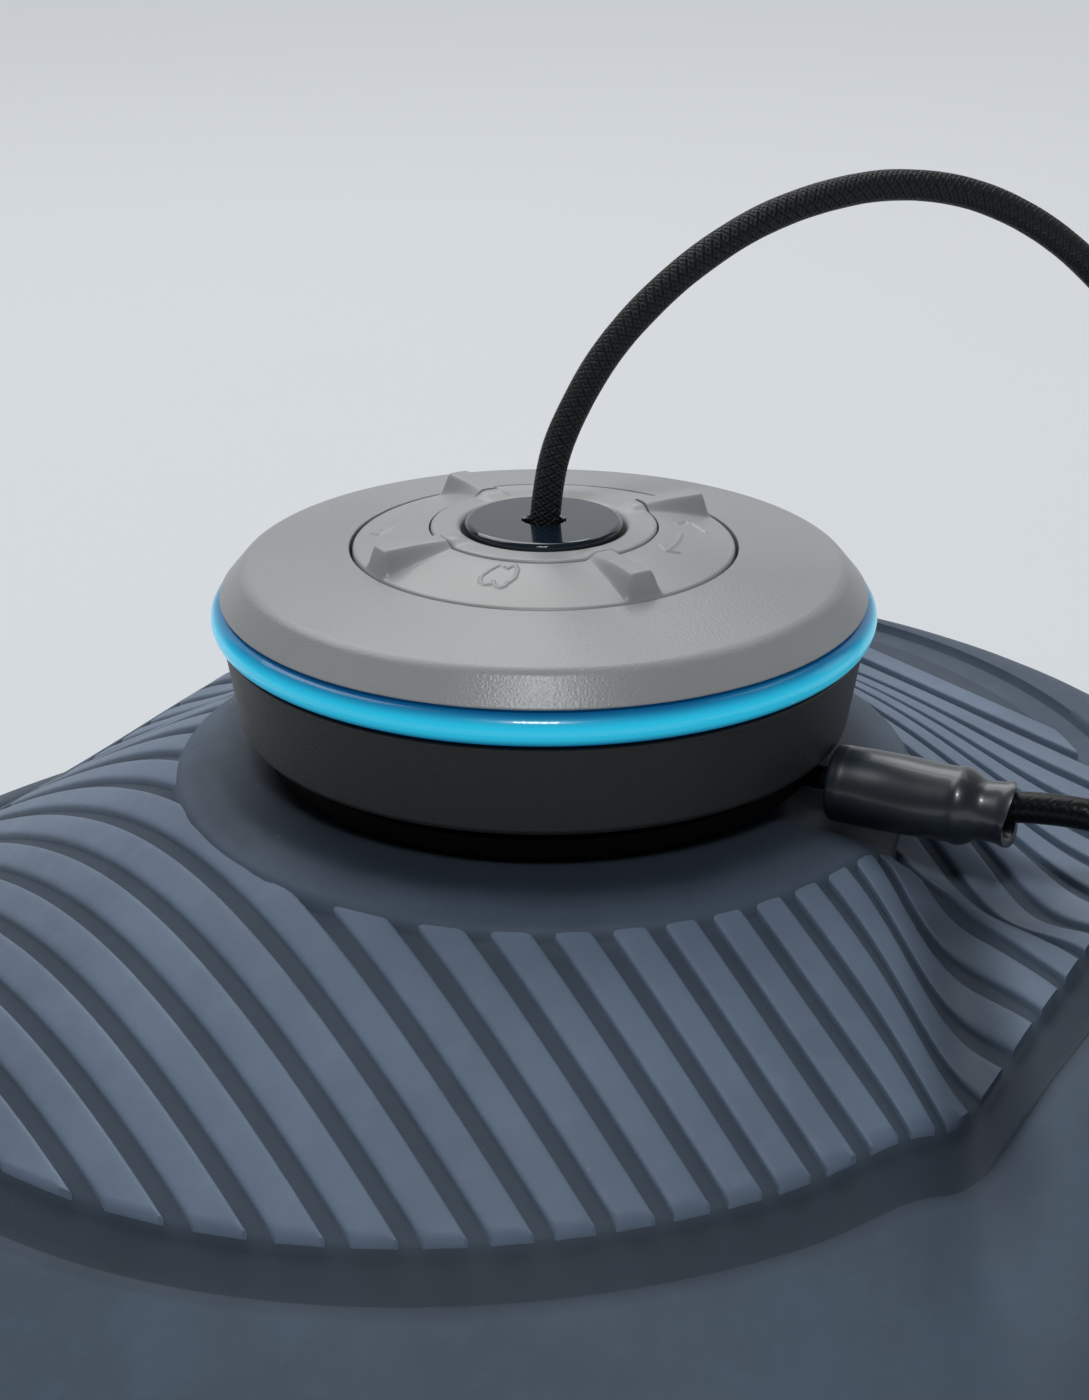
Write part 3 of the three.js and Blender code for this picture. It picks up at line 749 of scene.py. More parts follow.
@dataclass
class Cushion:
    """The air cushion: ribbed upper skin, flat lower skin, rim bead, floor grip and valve stopper."""

    shell: float = 158.0
    seat_height: float = 81.5
    seat: float = 57.0
    edge_height: float = 19.0
    seam_height: float = 17.5
    shoulder: float = 108.0
    shoulder_height: float = 70.0
    thickness: float = 3.5
    hole: float = 24.0
    bead: float = 3.2
    collar: float = 62.6              # smooth zone round the puck
    field_centre: tuple[float, float] = (-10.0, 6.0)
    field_radius: float = 108.0       # ribbed field, about its own centre
    field_nominal: float = 96.5
    channel_bearing: float = -25.0
    rib_bearing: float = -55.0
    rib_pitch: float = 7.4
    rib_width: float = 4.9
    rib_phase: float = 1.1
    rib_height: float = 1.3

    def top(self, x: float, y: float) -> float:
        """Height of the top surface in mm, before ribs, at a place in mm."""
        r = math.hypot(x, y)
        away = abs(math.degrees(math.atan2(y, x)) - 38)
        fullness = 1 - ease(60, 110, away)
        drop = self.seat_height - self.edge_height
        low = self.seat_height - drop * (max(0.0, r - self.seat) / (self.shell - self.seat)) ** 1.05
        fall = max(0.0, r - self.shoulder) / (self.shell - self.shoulder)
        full = self.seat_height - (self.seat_height - self.shoulder_height) * ease(50, 92, r)
        full -= (self.shoulder_height - self.edge_height) * fall**2
        crease = 6 * math.exp(-(((x - 61) / 8) ** 2)) * ease(20, 45, -y) * (1 - ease(85, 125, -y))
        bearing = math.radians(self.channel_bearing)
        along = x * math.cos(bearing) + y * math.sin(bearing)
        across = y * math.cos(bearing) - x * math.sin(bearing)
        channel = 5.6 * math.exp(-((across / 8) ** 2)) * ease(42, 50, along) * (1 - ease(78, 104, along))
        return low + (full - low) * fullness - max(crease, channel)

    def field_edge(self, ux: float, uy: float) -> float:
        """Radius at which the ribbed field ends, looking out from the puck's axis along (ux, uy)."""
        cx, cy = self.field_centre
        reach = ux * cx + uy * cy
        return reach + math.sqrt(reach**2 - cx**2 - cy**2 + self.field_radius**2)

    def _relief(self) -> list[Point]:
        """Section of the upper skin: radius before the field is fitted, and height off the top surface."""
        floor = -self.rib_height
        gutter = -2.3
        top = [(self.hole, 0), (30, 0), (36, 0), (42, 0), (48, 0), (52, 0), (55, 0), (57, 0), (59, 0.03),
               (60.5, 0.14), (61.5, 0.26), (62.1, 0.24), (62.6, -0.25), (62.9, -0.95), (63.2, floor)]
        top += [(63.2 + 1.8 * k, floor) for k in range(1, 18)]
        top += [(95.9, floor), (96.5, -1.6), (97.1, gutter + 0.1), (98, gutter), (99.5, gutter),
                (101, gutter),
                (102.5, gutter), (103.2, gutter + 0.15), (103.7, -1.4), (104.1, -0.45), (104.8, -0.1),
                (105.8, 0)]
        top += [(108 + 3 * k, 0) for k in range(0, 15)]
        top += [(152.5, 0), (154.5, 0), (156.2, 0), (157.3, -0.1), (self.shell, -0.5)]
        inner = [(self.shell - self.thickness + 0.6, -self.thickness), (148, -self.thickness)]
        inner += [(140 - 8 * k, -self.thickness - 0.2) for k in range(0, 14)]
        inner += [(self.hole, -self.thickness)]
        return [(r, z, 0) for r, z in top + inner]

    def _fitted(self, r: float, ux: float, uy: float) -> float:
        """Radius of a ring once the ribbed field takes its place off centre."""
        edge = self.field_edge(ux, uy)
        gutter = 7.5
        if r <= self.collar:
            return r
        if r <= self.field_nominal:
            share = (r - self.collar) / (self.field_nominal - self.collar)
            return self.collar + (edge - self.collar) * share
        if r <= self.field_nominal + gutter:
            return edge + r - self.field_nominal
        share = (r - self.field_nominal - gutter) / (self.shell - self.field_nominal - gutter)
        return edge + gutter + (self.shell - edge - gutter) * share

    def skin(self) -> bpy.types.Object:
        """The upper skin: one closed shell that follows the top surface."""

        def settle(spot: Vector) -> Vector:
            """Carries a point of the flat section onto the top surface."""
            r = math.hypot(spot.x, spot.y)
            ux, uy = spot.x / r, spot.y / r
            radius = self._fitted(r / MM, ux, uy)
            x, y = radius * ux, radius * uy
            height = max(self.seam_height + 0.3, self.top(x, y) + spot.z / MM)
            return Vector((x, y, height)) * MM

        return Blank().turn(self._relief(), steps=480).stir(settle).piece("cushion_skin", SKIN, even=False)

    def ribs(self) -> bpy.types.Object:
        """Raised straight bands, clipped by the smooth zone inside and by the field's edge outside."""
        bearing = math.radians(self.rib_bearing)
        lane = Vector((math.cos(bearing), math.sin(bearing)))
        side = Vector((-lane.y, lane.x))
        centre = Vector(self.field_centre)
        mid, off = centre.dot(lane), centre.dot(side)
        inner = self.collar - 1.0
        blank = Blank()
        count = int((self.field_radius + abs(off)) / self.rib_pitch) + 2
        section = [(0, -0.55), (0.06, -0.28), (0.25, -0.10), (0.6, 0), (1.2, 0.03)]
        for k in range(-count, count + 1):
            start = self.rib_phase + self.rib_pitch * k + (self.rib_pitch - self.rib_width) / 2
            lines = [(start + d, z) for d, z in section] + [(start + self.rib_width / 2, 0.04)]
            lines += [(start + self.rib_width - d, z) for d, z in reversed(section)]
            reach = [math.sqrt(max(0.0, self.field_radius**2 - (v - off) ** 2)) for v, _ in lines]
            if min(reach) < 5:
                continue
            gap = [math.sqrt(max(0.0, inner**2 - v * v)) for v, _ in lines]
            if max(gap) < 1:
                spans = [([mid - a for a in reach], [mid + a for a in reach])]
            else:
                spans = [([mid - a for a in reach], [0.2 - g for g in gap]),
                         ([g - 0.2 for g in gap], [mid + a for a in reach])]
            for low, high in spans:
                self._rib(blank, lines, low, high, lane, side)
        return blank.piece("cushion_ribs", RIBS, crease=60, even=False)

    def _rib(self, blank: Blank, lines: list[tuple[float, float]], low: list[float], high: list[float],
             lane: Vector, side: Vector) -> None:
        """Adds one band.

        Args:
            blank: What the band is added to.
            lines: Place across the ribs and height of each of its lengthwise lines.
            low: Where each line starts, along the ribs.
            high: Where each line ends.
            lane: Direction along the ribs.
            side: Direction across them.
        """
        last = len(lines) - 1
        length = max(b - a for a, b in zip(low, high))

        def spot(across: float, along: float) -> Vector:
            """A point of the band."""
            k = round(across * last)
            v, lift = lines[k]
            u = low[k] + (high[k] - low[k]) * along
            flat = lane * u + side * v
            return Vector((flat.x, flat.y, self.top(flat.x, flat.y) + lift)) * MM

        blank.sheet(last, max(2, int(length / 2)), spot, wall=1.6)

    def build(self) -> None:
        """Makes the cushion's pieces and fixes the base, bead, floor grip and stopper to their bodies."""
        skin = self.skin()
        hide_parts("upper_skin")
        ribs = self.ribs()
        for part in (skin, ribs):
            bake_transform(part)
        low = self.seam_height - 1
        base = Blank().turn([
            (6.3, 2.6, 0.3), (60, 2.6, 0), (61, 3.2, 0.3), (63, 3.2, 0.3), (64, 2.6, 0), (124, 2.6, 2),
            (138, 4.2, 4), (149, 8, 3),
            (155, 12, 2.5), (self.shell, low, 0.4), (self.shell - self.thickness, low, 0.4), (151, 13.2, 2),
            (146, 10.8, 3), (136.5, 7.5, 4), (123, 6, 2), (6.3, 6, 0.3)]).piece("cushion_base", BASE_RUBBER)
        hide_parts("lower_skin")
        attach(base, "cushion")
        centre = self.shell + self.bead + 0.3
        ring = [(centre + self.bead * math.cos(a), self.seam_height + self.bead * math.sin(a), 0)
                for a in (TURN * k / 20 for k in range(20))]
        bead = Blank().turn(ring, steps=256).piece("cushion_bead", BASE_RUBBER, even=False)
        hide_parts("rim_bead")
        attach(bead, "cushion")
        teeth: list[Point] = [(122, 2.3, 0.3), (86, 2.3, 0.3)]
        for k in range(9):
            r = 86 + 4 * k
            teeth += [(r, 0, 0.3), (r + 2.6, 0, 0.3), (r + 3, 1.2, 0.2), (r + 3.6, 1.2, 0.2)]
        teeth[-2:] = [(122, 0, 0.3)]
        grip = Blank().turn(teeth, fillet_segments=2).piece("floor_grip", GRIP_RUBBER)
        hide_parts("grip_ring")
        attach(grip, "cushion")
        stopper = Blank().turn([(0, 0.7, 0), (2.2, 0.7, 0.2), (2.5, 0.5, 0.1), (4.5, 0.5, 0.3), (5, 1, 0.2),
                                (5, 2.3, 0.3),
                                (2.8, 2.3, 0.2), (2.8, 5, 0.2), (2.95, 5.5, 0.2), (2.7, 6.2, 0.2),
                                (2.6, 12.5, 0.5), (0, 12.5, 0)],
                               steps=64).piece("valve_stopper", FLANGE)
        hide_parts("valve_plug")
        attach(stopper, "valve_plug")


# ---- puck ------------------------------------------------------------------------------------


@dataclass
class Puck:
    """The fixed control puck: flange, housing, light ring, cover and the lead's sleeve."""

    flange_radius: float = 47.0
    flange_low: float = 81.8
    flange_top: float = 88.2
    housing_low: float = 51.1
    housing_high: float = 53.2
    ring_radius: float = 52.3
    ring_height: float = 106.8
    ring_section: float = 2.7
    cover_edge: float = 49.3
    cover_height: float = 115.0
    dial_bore: float = 32.0
    sleeve_bearing: float = -25.0
    sleeve_height: float = 84.0
    sleeve_start: float = 51.7
    sleeve_end: float = 80.8

    def flange(self) -> bpy.types.Object:
        """The black flange, recessed under the housing, with its spigot, pocket and claws."""
        low, top = self.flange_low, self.flange_top
        blank = Blank().turn([
            (8, 78.3, 0.2), (23.5, 78.3, 0.4), (23.5, low, 0), (self.flange_radius - 1.5, low, 0.3),
            (self.flange_radius, low + 1.2, 0.4), (self.flange_radius, top - 2.2, 0.2),
            (45.8, top - 1.8, 0.2), (45.8, top, 0.2), (25, top, 0.3), (25, 85.2, 0.3), (8, 85.2, 0.2)])
        claw = [(21, 86.9, 0.2), (25.6, 86.9, 0), (25.6, top, 0), (21, top, 0.2)]
        for bearing in (0, 120, 240):
            blank.turn(claw, steps=16, arc=50, start=bearing - 25)
        return blank.piece("flange_plate", FLANGE)

    def housing(self) -> bpy.types.Object:
        """The near-black lower housing, with a shadow line under the light ring and screw posts."""
        low, rim = self.flange_top + 0.3, 103.8
        wide = self.housing_high
        blank = Blank().turn([
            (19.4, low, 0.2), (self.housing_low - 0.8, low, 0.3), (self.housing_low, low + 0.7, 0.5),
            (wide, rim - 0.6, 0),
            (wide, rim, 0.35), (50.2, rim, 0.2), (50.2, rim - 0.9, 0.15), (self.cover_edge, rim - 0.9, 0),
            (self.cover_edge, 105.5, 0.2), (46.9, 105.5, 0.2), (46.9, 102.5, 0.3), (48.6, 100.5, 0.6),
            (48.6, low + 2.5, 0.8), (19.4, low + 2.5, 0.2)], steps=256)
        for pitch, first, count, radius, top, bore in ((43, 45, 4, 3.0, 105.6, 1.5),
                                                       (34, 90, 3, 2.4, 93.7, 1.2)):
            for k in range(count):
                place = Matrix.Translation(polar(pitch, first + 360 / count * k) * MM)
                blank.turn([(bore, low + 2.3, 0), (radius, low + 2.3, 0), (radius, top, 0.2),
                            (bore, top, 0.1)],
                           steps=32, place=place)
        return blank.piece("housing_shell", HOUSING)

    def light_ring(self) -> bpy.types.Object:
        """The round light pipe with the tongue that holds it."""
        arc = [(self.ring_radius + self.ring_section * math.cos(a),
                self.ring_height + self.ring_section * math.sin(a), 0)
               for a in (math.radians(-157 + 314 * k / 28) for k in range(29))]
        tongue = [(46.5, self.ring_height + 1, 0.2), (46.5, self.ring_height - 1, 0.2)]
        return Blank().turn(arc + tongue, steps=288).piece("glow_ring", GLOW, crease=60, even=False)

    def cover(self) -> bpy.types.Object:
        """The warm grey top cover: sloped top, crisp rounded shoulder, deep chamfer."""
        edge, high = self.cover_edge, self.cover_height
        blank = Blank().turn([
            (46.9, 108.1, 0.2), (edge, 108.1, 0.2), (edge, 109.9, 0.2), (52.4, 109.9, 0.2),
            (53.6, 110.0, 0.45),
            (edge + 0.25, high - 0.2, 1.1), (self.dial_bore, 117.35, 0.3), (self.dial_bore, 112.2, 0.2),
            (28.5, 112.2, 0.3),
            (28.5, 111, 0.2), (34.2, 111, 0.3), (34.2, 113.9, 0.6), (46.9, 111.8, 0.6)], steps=288,
            fillet_segments=6)
        for k in range(4):
            place = Matrix.Translation(polar(43, 45 + 90 * k) * MM)
            blank.turn([(1.5, 107.5, 0.1), (2.8, 107.5, 0.2), (2.8, 112.6, 0), (1.5, 112.6, 0)], steps=32,
                       place=place)
        return blank.piece("cover_shell", COVER)

    def sleeve(self) -> bpy.types.Object:
        """Heat-shrunk tube over the lead's root: long barrel, wrinkled waist and an open, uneven mouth."""
        start, end = self.sleeve_start, self.sleeve_end
        profile = [(0, start + 0.6, 0), (5.4, start + 0.2, 0.3), (6.0, start, 0.3)]
        steps = 60
        for k in range(1, steps):
            s = start + (end - 0.3 - start) * k / steps
            radius = 6.3 - 1.5 * ease(73.0, 76.6, s) - 0.10 * ease(52, 72, s)
            radius += 0.16 * math.exp(-(((s - 72.6) / 0.6) ** 2))
            radius += 0.10 * math.exp(-(((s - 53.6) / 0.5) ** 2))
            radius += 0.36 * ease(end - 1.8, end, s) + 0.03 * math.sin(s * 0.7)
            profile.append((radius, s, 0))
        mouth = [(4.9, end, 0.15), (3.5, end - 0.2, 0.2), (3.2, end - 4, 0), (0, end - 4.2, 0)]
        blank = Blank().turn([*profile, *mouth], steps=96)

        def wrinkle(spot: Vector) -> Vector:
            """Presses uneven hollows into the tube, and lifts its mouth towards the lead."""
            s, bearing = spot.z / MM, math.atan2(spot.y, spot.x)
            near = math.exp(-(((s - 74.2) / 1.8) ** 2))
            swell = 1 + 0.035 * near * math.sin(3 * bearing + 1.2) + 0.018 * math.sin(2 * bearing + s * 0.35)
            mouth_share = ease(76, end, s)
            tall = 1 + 0.10 * mouth_share * abs(math.cos(bearing))
            slant = 0.5 * mouth_share * math.sin(2 * bearing + 0.6) * ease(78.5, end, s)
            return Vector((spot.x * swell * tall, spot.y * swell * (2 - tall), spot.z + slant * MM))

        blank.stir(wrinkle)
        bmesh.ops.transform(blank.bm, matrix=lying(self.sleeve_bearing, self.sleeve_height),
                            verts=blank.bm.verts)
        return blank.piece("shrink_sleeve", SHRINK, even=False)

    def build(self) -> None:
        """Makes the puck's pieces and fixes them to the puck."""
        for part, node, slot in (
            (self.flange(), "base_flange", "black_plastic"),
            (self.housing(), "lower_housing", "dark_grey_plastic"),
            (self.light_ring(), "light_ring", "cyan_light"),
            (self.cover(), "top_cover", "warm_grey_plastic"),
            (self.sleeve(), "lead_sleeve", "sleeve_gloss"),
        ):
            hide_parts(node)
            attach(part, "puck")


# ---- dial ------------------------------------------------------------------------------------


@dataclass
class Dial:
    """The twist dial: four grips that run out from the collar, dished sectors and raised pictograms."""

    inner: float = 18.9
    outer: float = 31.5
    rim: float = 117.3
    dish: float = 120.2
    grip_top: float = 121.4
    grips: tuple[float, ...] = (30, 120, 210, 300)
    grip_half: float = 2.2
    wall: float = 1.15
    mark_half: float = 0.26
    mark_lift: float = 0.24
    _boxes: list[tuple[list, tuple[float, ...]]] = field(default_factory=list, init=False)

    def marks(self) -> list[list[tuple[float, float]]]:
        """Centre lines of the raised pictograms: a drop, two turn arrows and a long turn arrow."""
        wing = [(-7.9, -24.7), (-9.4, -24.6), (-10.1, -23.6), (-9.9, -21.4), (-8.5, -19.0), (-6.8, -17.1),
                (-6.1, -18.2)]
        foot = [(-7.9, -23.6), (-7.6, -25.4), (-6.8, -26.3), (-5.9, -25.8), (-5.5, -24.2)]
        hook = [(-5.6, -18.9), (-4.4, -17.4), (-3.9, -19.6), (-4.3, -22.8), (-5.3, -24.6)]
        wing, foot, hook = [[(0.94 * x - 0.4, -22.4 + 0.72 * (y + 21.7)) for x,
                             y in line] for line in (wing, foot, hook)]
        arc = [tuple(polar(27.0, a).xy) for a in range(139, 181, 6)]
        head = [tuple(polar(28.6, 176).xy), tuple(polar(27.0, 180).xy), tuple(polar(25.2, 175).xy)]
        upper = [tuple(polar(24.4, a).xy) for a in (-2, 3, 8, 13)]
        barb = [tuple(polar(26.8, 2).xy), tuple(polar(24.4, 13).xy), tuple(polar(22.2, 6).xy)]
        lower = [tuple(polar(22.6, a).xy) for a in (-7, -13, -19, -25, -30)]
        tip = [tuple(polar(20.9, -26).xy), tuple(polar(22.6, -30).xy), tuple(polar(24.2, -27).xy)]
        return [wing, foot, hook, arc, head, upper[-2:], barb, lower, tip]

    def _mark(self, x: float, y: float) -> float:
        """Height of the pictograms at a place, as a share of their full height."""
        best = 9.0
        for line, (x0, y0, x1, y1) in self._boxes:
            if not (x0 < x < x1 and y0 < y < y1):
                continue
            for (ax, ay), (bx, by) in zip(line, line[1:]):
                dx, dy = bx - ax, by - ay
                share = min(1.0, max(0.0, ((x - ax) * dx + (y - ay) * dy) / (dx * dx + dy * dy)))
                best = min(best, math.hypot(x - ax - share * dx, y - ay - share * dy))
        return 1 - ease(self.mark_half * 0.45, self.mark_half * 1.5, best)

    def height(self, r: float, angle: float) -> float:
        """Height of the dial's face in mm at a radius in mm and an angle in radians."""
        x, y = r * math.cos(angle), r * math.sin(angle)
        out = (r - self.inner) / (self.outer - self.inner)
        face = self.dish + (self.rim - self.dish) * out**1.25
        grip = self.grip(r, angle)
        return face + (self.grip_top - face) * grip + self.mark_lift * self._mark(x, y) * (1 - grip)

    def grip(self, r: float, angle: float) -> float:
        """How much of a grip's full height stands at a radius in mm and an angle in radians."""
        most = 0.0
        for bearing in self.grips:
            turned = angle - math.radians(bearing)
            along, across = r * math.cos(turned), abs(r * math.sin(turned))
            if along < 0:
                continue
            half = self.grip_half + 0.4 * ease(24, 30.0, along)
            flank = 1 - ease(half - 1.1, half + self.wall, across)
            ends = ease(14.2, 17.0, along) * (1 - ease(29.9, 31.2, along))
            most = max(most, flank * ends)
        return most

    def face(self) -> bpy.types.Object:
        """The dial itself, one closed ring from its hub to its face."""
        self._boxes = []
        for line in self.marks():
            xs, ys = [p[0] for p in line], [p[1] for p in line]
            self._boxes.append((line, (min(xs) - 1, min(ys) - 1, max(xs) + 1, max(ys) + 1)))
        span = 60
        top = [self.outer - 0.35 - (self.outer - 0.35 - self.inner) * k / span for k in range(span + 1)]
        section: list[tuple[float, float | None]] = [
            (14.8, 105.3), (18.6, 105.3), (18.6, 114.2), (31.2, 114.2), (31.4, 114.4), (self.outer, 116.8),
            (self.outer - 0.06, 117.08), (self.outer - 0.18, 117.24)]
        section += [(r, None) for r in top]
        section += [(self.inner, 117.2), (14.8, 117.2), (14.8, 105.3)]
        last = len(section) - 1

        def spot(across: float, along: float) -> Vector:
            """A point of the ring's skin."""
            r, z = section[round(along * last)]
            angle = across * TURN
            z = self.height(r, angle) if z is None else z
            return Vector((r * math.cos(angle), r * math.sin(angle), z)) * MM

        return Blank().sheet(960, last, spot, ring=True).piece("dial_face", DIAL_PLASTIC, crease=55,
                even=False)

    def collar(self) -> bpy.types.Object:
        """The raised collar round the hub button, which the grips run up onto."""
        top = 120.6
        section: list[tuple[float, float | None]] = [
            (13.6, 113), (14.5, 113), (14.5, 117.5), (18.6, 117.5), (18.6, 120.15), (18.5, 120.4),
            (18.28, 120.55)]
        section += [(18.0 - 0.4 * k, None) for k in range(9)]
        section += [(14.4, 120.55), (14.0, 120.35), (13.7, 119.95), (13.6, 119.5), (13.6, 113)]
        last = len(section) - 1

        def spot(across: float, along: float) -> Vector:
            """A point of the collar's skin."""
            r, z = section[round(along * last)]
            angle = across * TURN
            base = top if z is None else z
            lift = (self.grip_top - top) * self.grip(r, angle) if base > 119 else 0.0
            return Vector((r * math.cos(angle), r * math.sin(angle), base + lift)) * MM

        return Blank().sheet(480, last, spot, ring=True).piece("collar_ring", DIAL_PLASTIC, crease=55,
                even=False)

    def build(self) -> None:
        """Makes the dial's pieces and fixes them to the dial."""
        for part, node in ((self.face(), "dial"), (self.collar(), "dial_collar")):
            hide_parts(node)
            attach(part, "dial")


# ---- hub button ------------------------------------------------------------------------------


@dataclass
class HubButton:
    """The glossy press-in button that the hub cord comes up through."""

    radius: float = 12.95
    top: float = 121.3
    thick: float = 2.0
    bore: float = 3.0
    skirt: float = 110.7      # foot of the skirt, clear of the spring when pressed
    notch: float = 3.2        # centre of each notch beside the cord

    def build(self) -> None:
        """Makes the button and fixes it to its slide."""
        under = self.top - self.thick
        blank = Blank().turn([
            (6.6, self.skirt, 0.2), (9.2, self.skirt, 0.3), (9.2, under, 0.3),
            (self.radius - 0.5, under, 0.3), (self.radius, under + 0.5, 0.3),
            (self.radius, self.top - 0.45, 0.15), (self.radius - 0.55, self.top, 0.3),
            (self.bore + 0.4, self.top, 0.3),
            (self.bore, self.top - 0.5, 0.2), (self.bore, under, 0), (6.6, under, 0)], steps=192)
        for side in (-1, 1):
            low = (side * self.notch - 0.5, -0.6, self.top - 0.3)
            high = (side * self.notch + 0.5, 0.6, self.top + 0.35)
            blank.block(low, high, 0.2)
        button = blank.piece("button_cap", GLOSS)
        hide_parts("hub_button")
        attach(button, "hub_button")


# ---- cords -----------------------------------------------------------------------------------


class Turning(Enum):
    """Which way a coil is wound, seen from above."""

    CLOCKWISE = -1
    COUNTER = 1


@dataclass
class Coil:
    """A put-away coil: full turns by ring and layer, then part of a last one."""

    centre: tuple[float, float]
    entry: float                       # bearing from the centre at which the cord arrives
    turning: Turning
    turns: tuple[tuple[float, int], ...]  # ring radius and layer of each turn
    last_arc: float                    # degrees of the last turn
    layer: float = 5.0
    lift: float = 2.5
    ramp: float = 75.0

    def points(self) -> list[Vector]:
        """Points every few degrees along the winding, in mm."""
        step = 5.0
        found = []
        for k, (radius, level) in enumerate(self.turns):
            final = k == len(self.turns) - 1
            span = self.last_arc if final else 360.0
            after_radius, after_level = (radius, level) if final else self.turns[k + 1]
            done = 0.0 if k else step
            while done < span - 0.01 or (final and done < span + 0.01):
                share = (done - (360 - self.ramp)) / self.ramp
                rise, shift = ease(0, 0.6, share), ease(0.4, 1, share)
                r = radius + (after_radius - radius) * shift
                z = self.lift + self.layer * (level + (after_level - level) * rise)
                angle = math.radians(self.entry + self.turning.value * done)
                found.append(Vector((self.centre[0] + r * math.cos(angle),
                                     self.centre[1] + r * math.sin(angle), z)))
                done += step
        return found


@dataclass
class Cord:
    """A round cord on one smooth route, from inside the object to its plug."""

    name: str
    route: tuple[Point, ...]           # from the exit to the coil's entry
    coil: Coil
    tail: tuple[Point, ...]            # from the coil to the plug
    finish: Finish
    radius: float = 2.5
    fine_length: float = 130.0         # closely meshed length beyond the exit
    fine_step: float = 0.5
    coarse_step: float = 1.6
    ridges: int = 14
    ridge_height: float = 0.07

    def _smooth(self, points: list[Vector]) -> list[Vector]:
        """Rounds a chain of points into a close, even curve.

        Args:
            points: Given points.

        Returns:
            Points about a third of a millimetre apart.
        """
        chain = [points[0] * 2 - points[1], *points, points[-1] * 2 - points[-2]]
        curve: list[Vector] = []
        for a, b, c, d in zip(chain, chain[1:], chain[2:], chain[3:]):
            knots = [0.0]
            for p, q in ((a, b), (b, c), (c, d)):
                knots.append(knots[-1] + max(1e-6, (q - p).length) ** 0.5)
            count = max(2, int((c - b).length / 0.33))
            for k in range(count):
                t = knots[1] + (knots[2] - knots[1]) * k / count
                curve.append(self._blend((a, b, c, d), knots, t))
        return [*curve, points[-1].copy()]

    @staticmethod
    def _blend(p: Sequence[Vector], t: list[float], at: float) -> Vector:
        """A point of the curve through four knots."""
        a = [
            (t[k + 1] - at) / (t[k + 1] - t[k]) * p[k] + (at - t[k]) / (t[k + 1] - t[k]) * p[k + 1]
            for k in range(3)]
        b = [
            (t[k + 2] - at) / (t[k + 2] - t[k]) * a[k] + (at - t[k]) / (t[k + 2] - t[k]) * a[k + 1]
            for k in range(2)]
        return (t[2] - at) / (t[2] - t[1]) * b[0] + (at - t[1]) / (t[2] - t[1]) * b[1]

    def _walk(self, curve: list[Vector]) -> tuple[list[Vector], list[float]]:
        """Picks rings along the curve, close together at first.

        Args:
            curve: Fine points of the whole route.

        Returns:
            The rings' centres, and the length up to each.
        """
        spots, lengths = [curve[0]], [0.0]
        done, due = 0.0, self.fine_step
        for a, b in zip(curve, curve[1:]):
            piece = (b - a).length
            while done + piece >= due:
                spots.append(a.lerp(b, (due - done) / piece))
                lengths.append(due)
                due += self.fine_step if due < self.fine_length else self.coarse_step
            done += piece
        spots.append(curve[-1])
        lengths.append(done)
        return spots, lengths

    def build(self) -> tuple[bpy.types.Object, list[Vector], float]:
        """Makes the cord.

        Returns:
            Its object, its centre line in metres, and its length in metres.
        """
        points = [Vector(p) for p in self.route] + self.coil.points() + [Vector(p) for p in self.tail]
        spots, lengths = self._walk(self._smooth(points))
        frames: list[tuple[Vector, Vector]] = []
        tangent = (spots[1] - spots[0]).normalized()
        normal = tangent.orthogonal().normalized()
        for k in range(len(spots)):
            ahead, behind = spots[min(k + 1, len(spots) - 1)], spots[max(k - 1, 0)]
            new = (ahead - behind).normalized()
            normal = tangent.rotation_difference(new) @ normal
            normal = (normal - new * normal.dot(new)).normalized()
            tangent = new
            frames.append((normal, tangent.cross(normal)))
        last = len(spots) - 1

        def spot(across: float, along: float) -> Vector:
            """A point of the cord's jacket, with its lengthwise ridges."""
            k = round(along * last)
            angle = across * TURN
            ridge = abs(math.sin(self.ridges * angle / 2 + lengths[k] * 0.25))
            r = self.radius - self.ridge_height * (1 - ridge)
            side, over = frames[k]
            return (spots[k] + (side * math.cos(angle) + over * math.sin(angle)) * r) * MM

        blank = Blank().sheet(36, last, spot, ring=True,
                              along=lambda share: lengths[round(share * last)] * MM, caps=True)
        obj = blank.piece(self.name, self.finish, crease=80, even=False)
        return obj, [p * MM for p in spots], lengths[-1] * MM


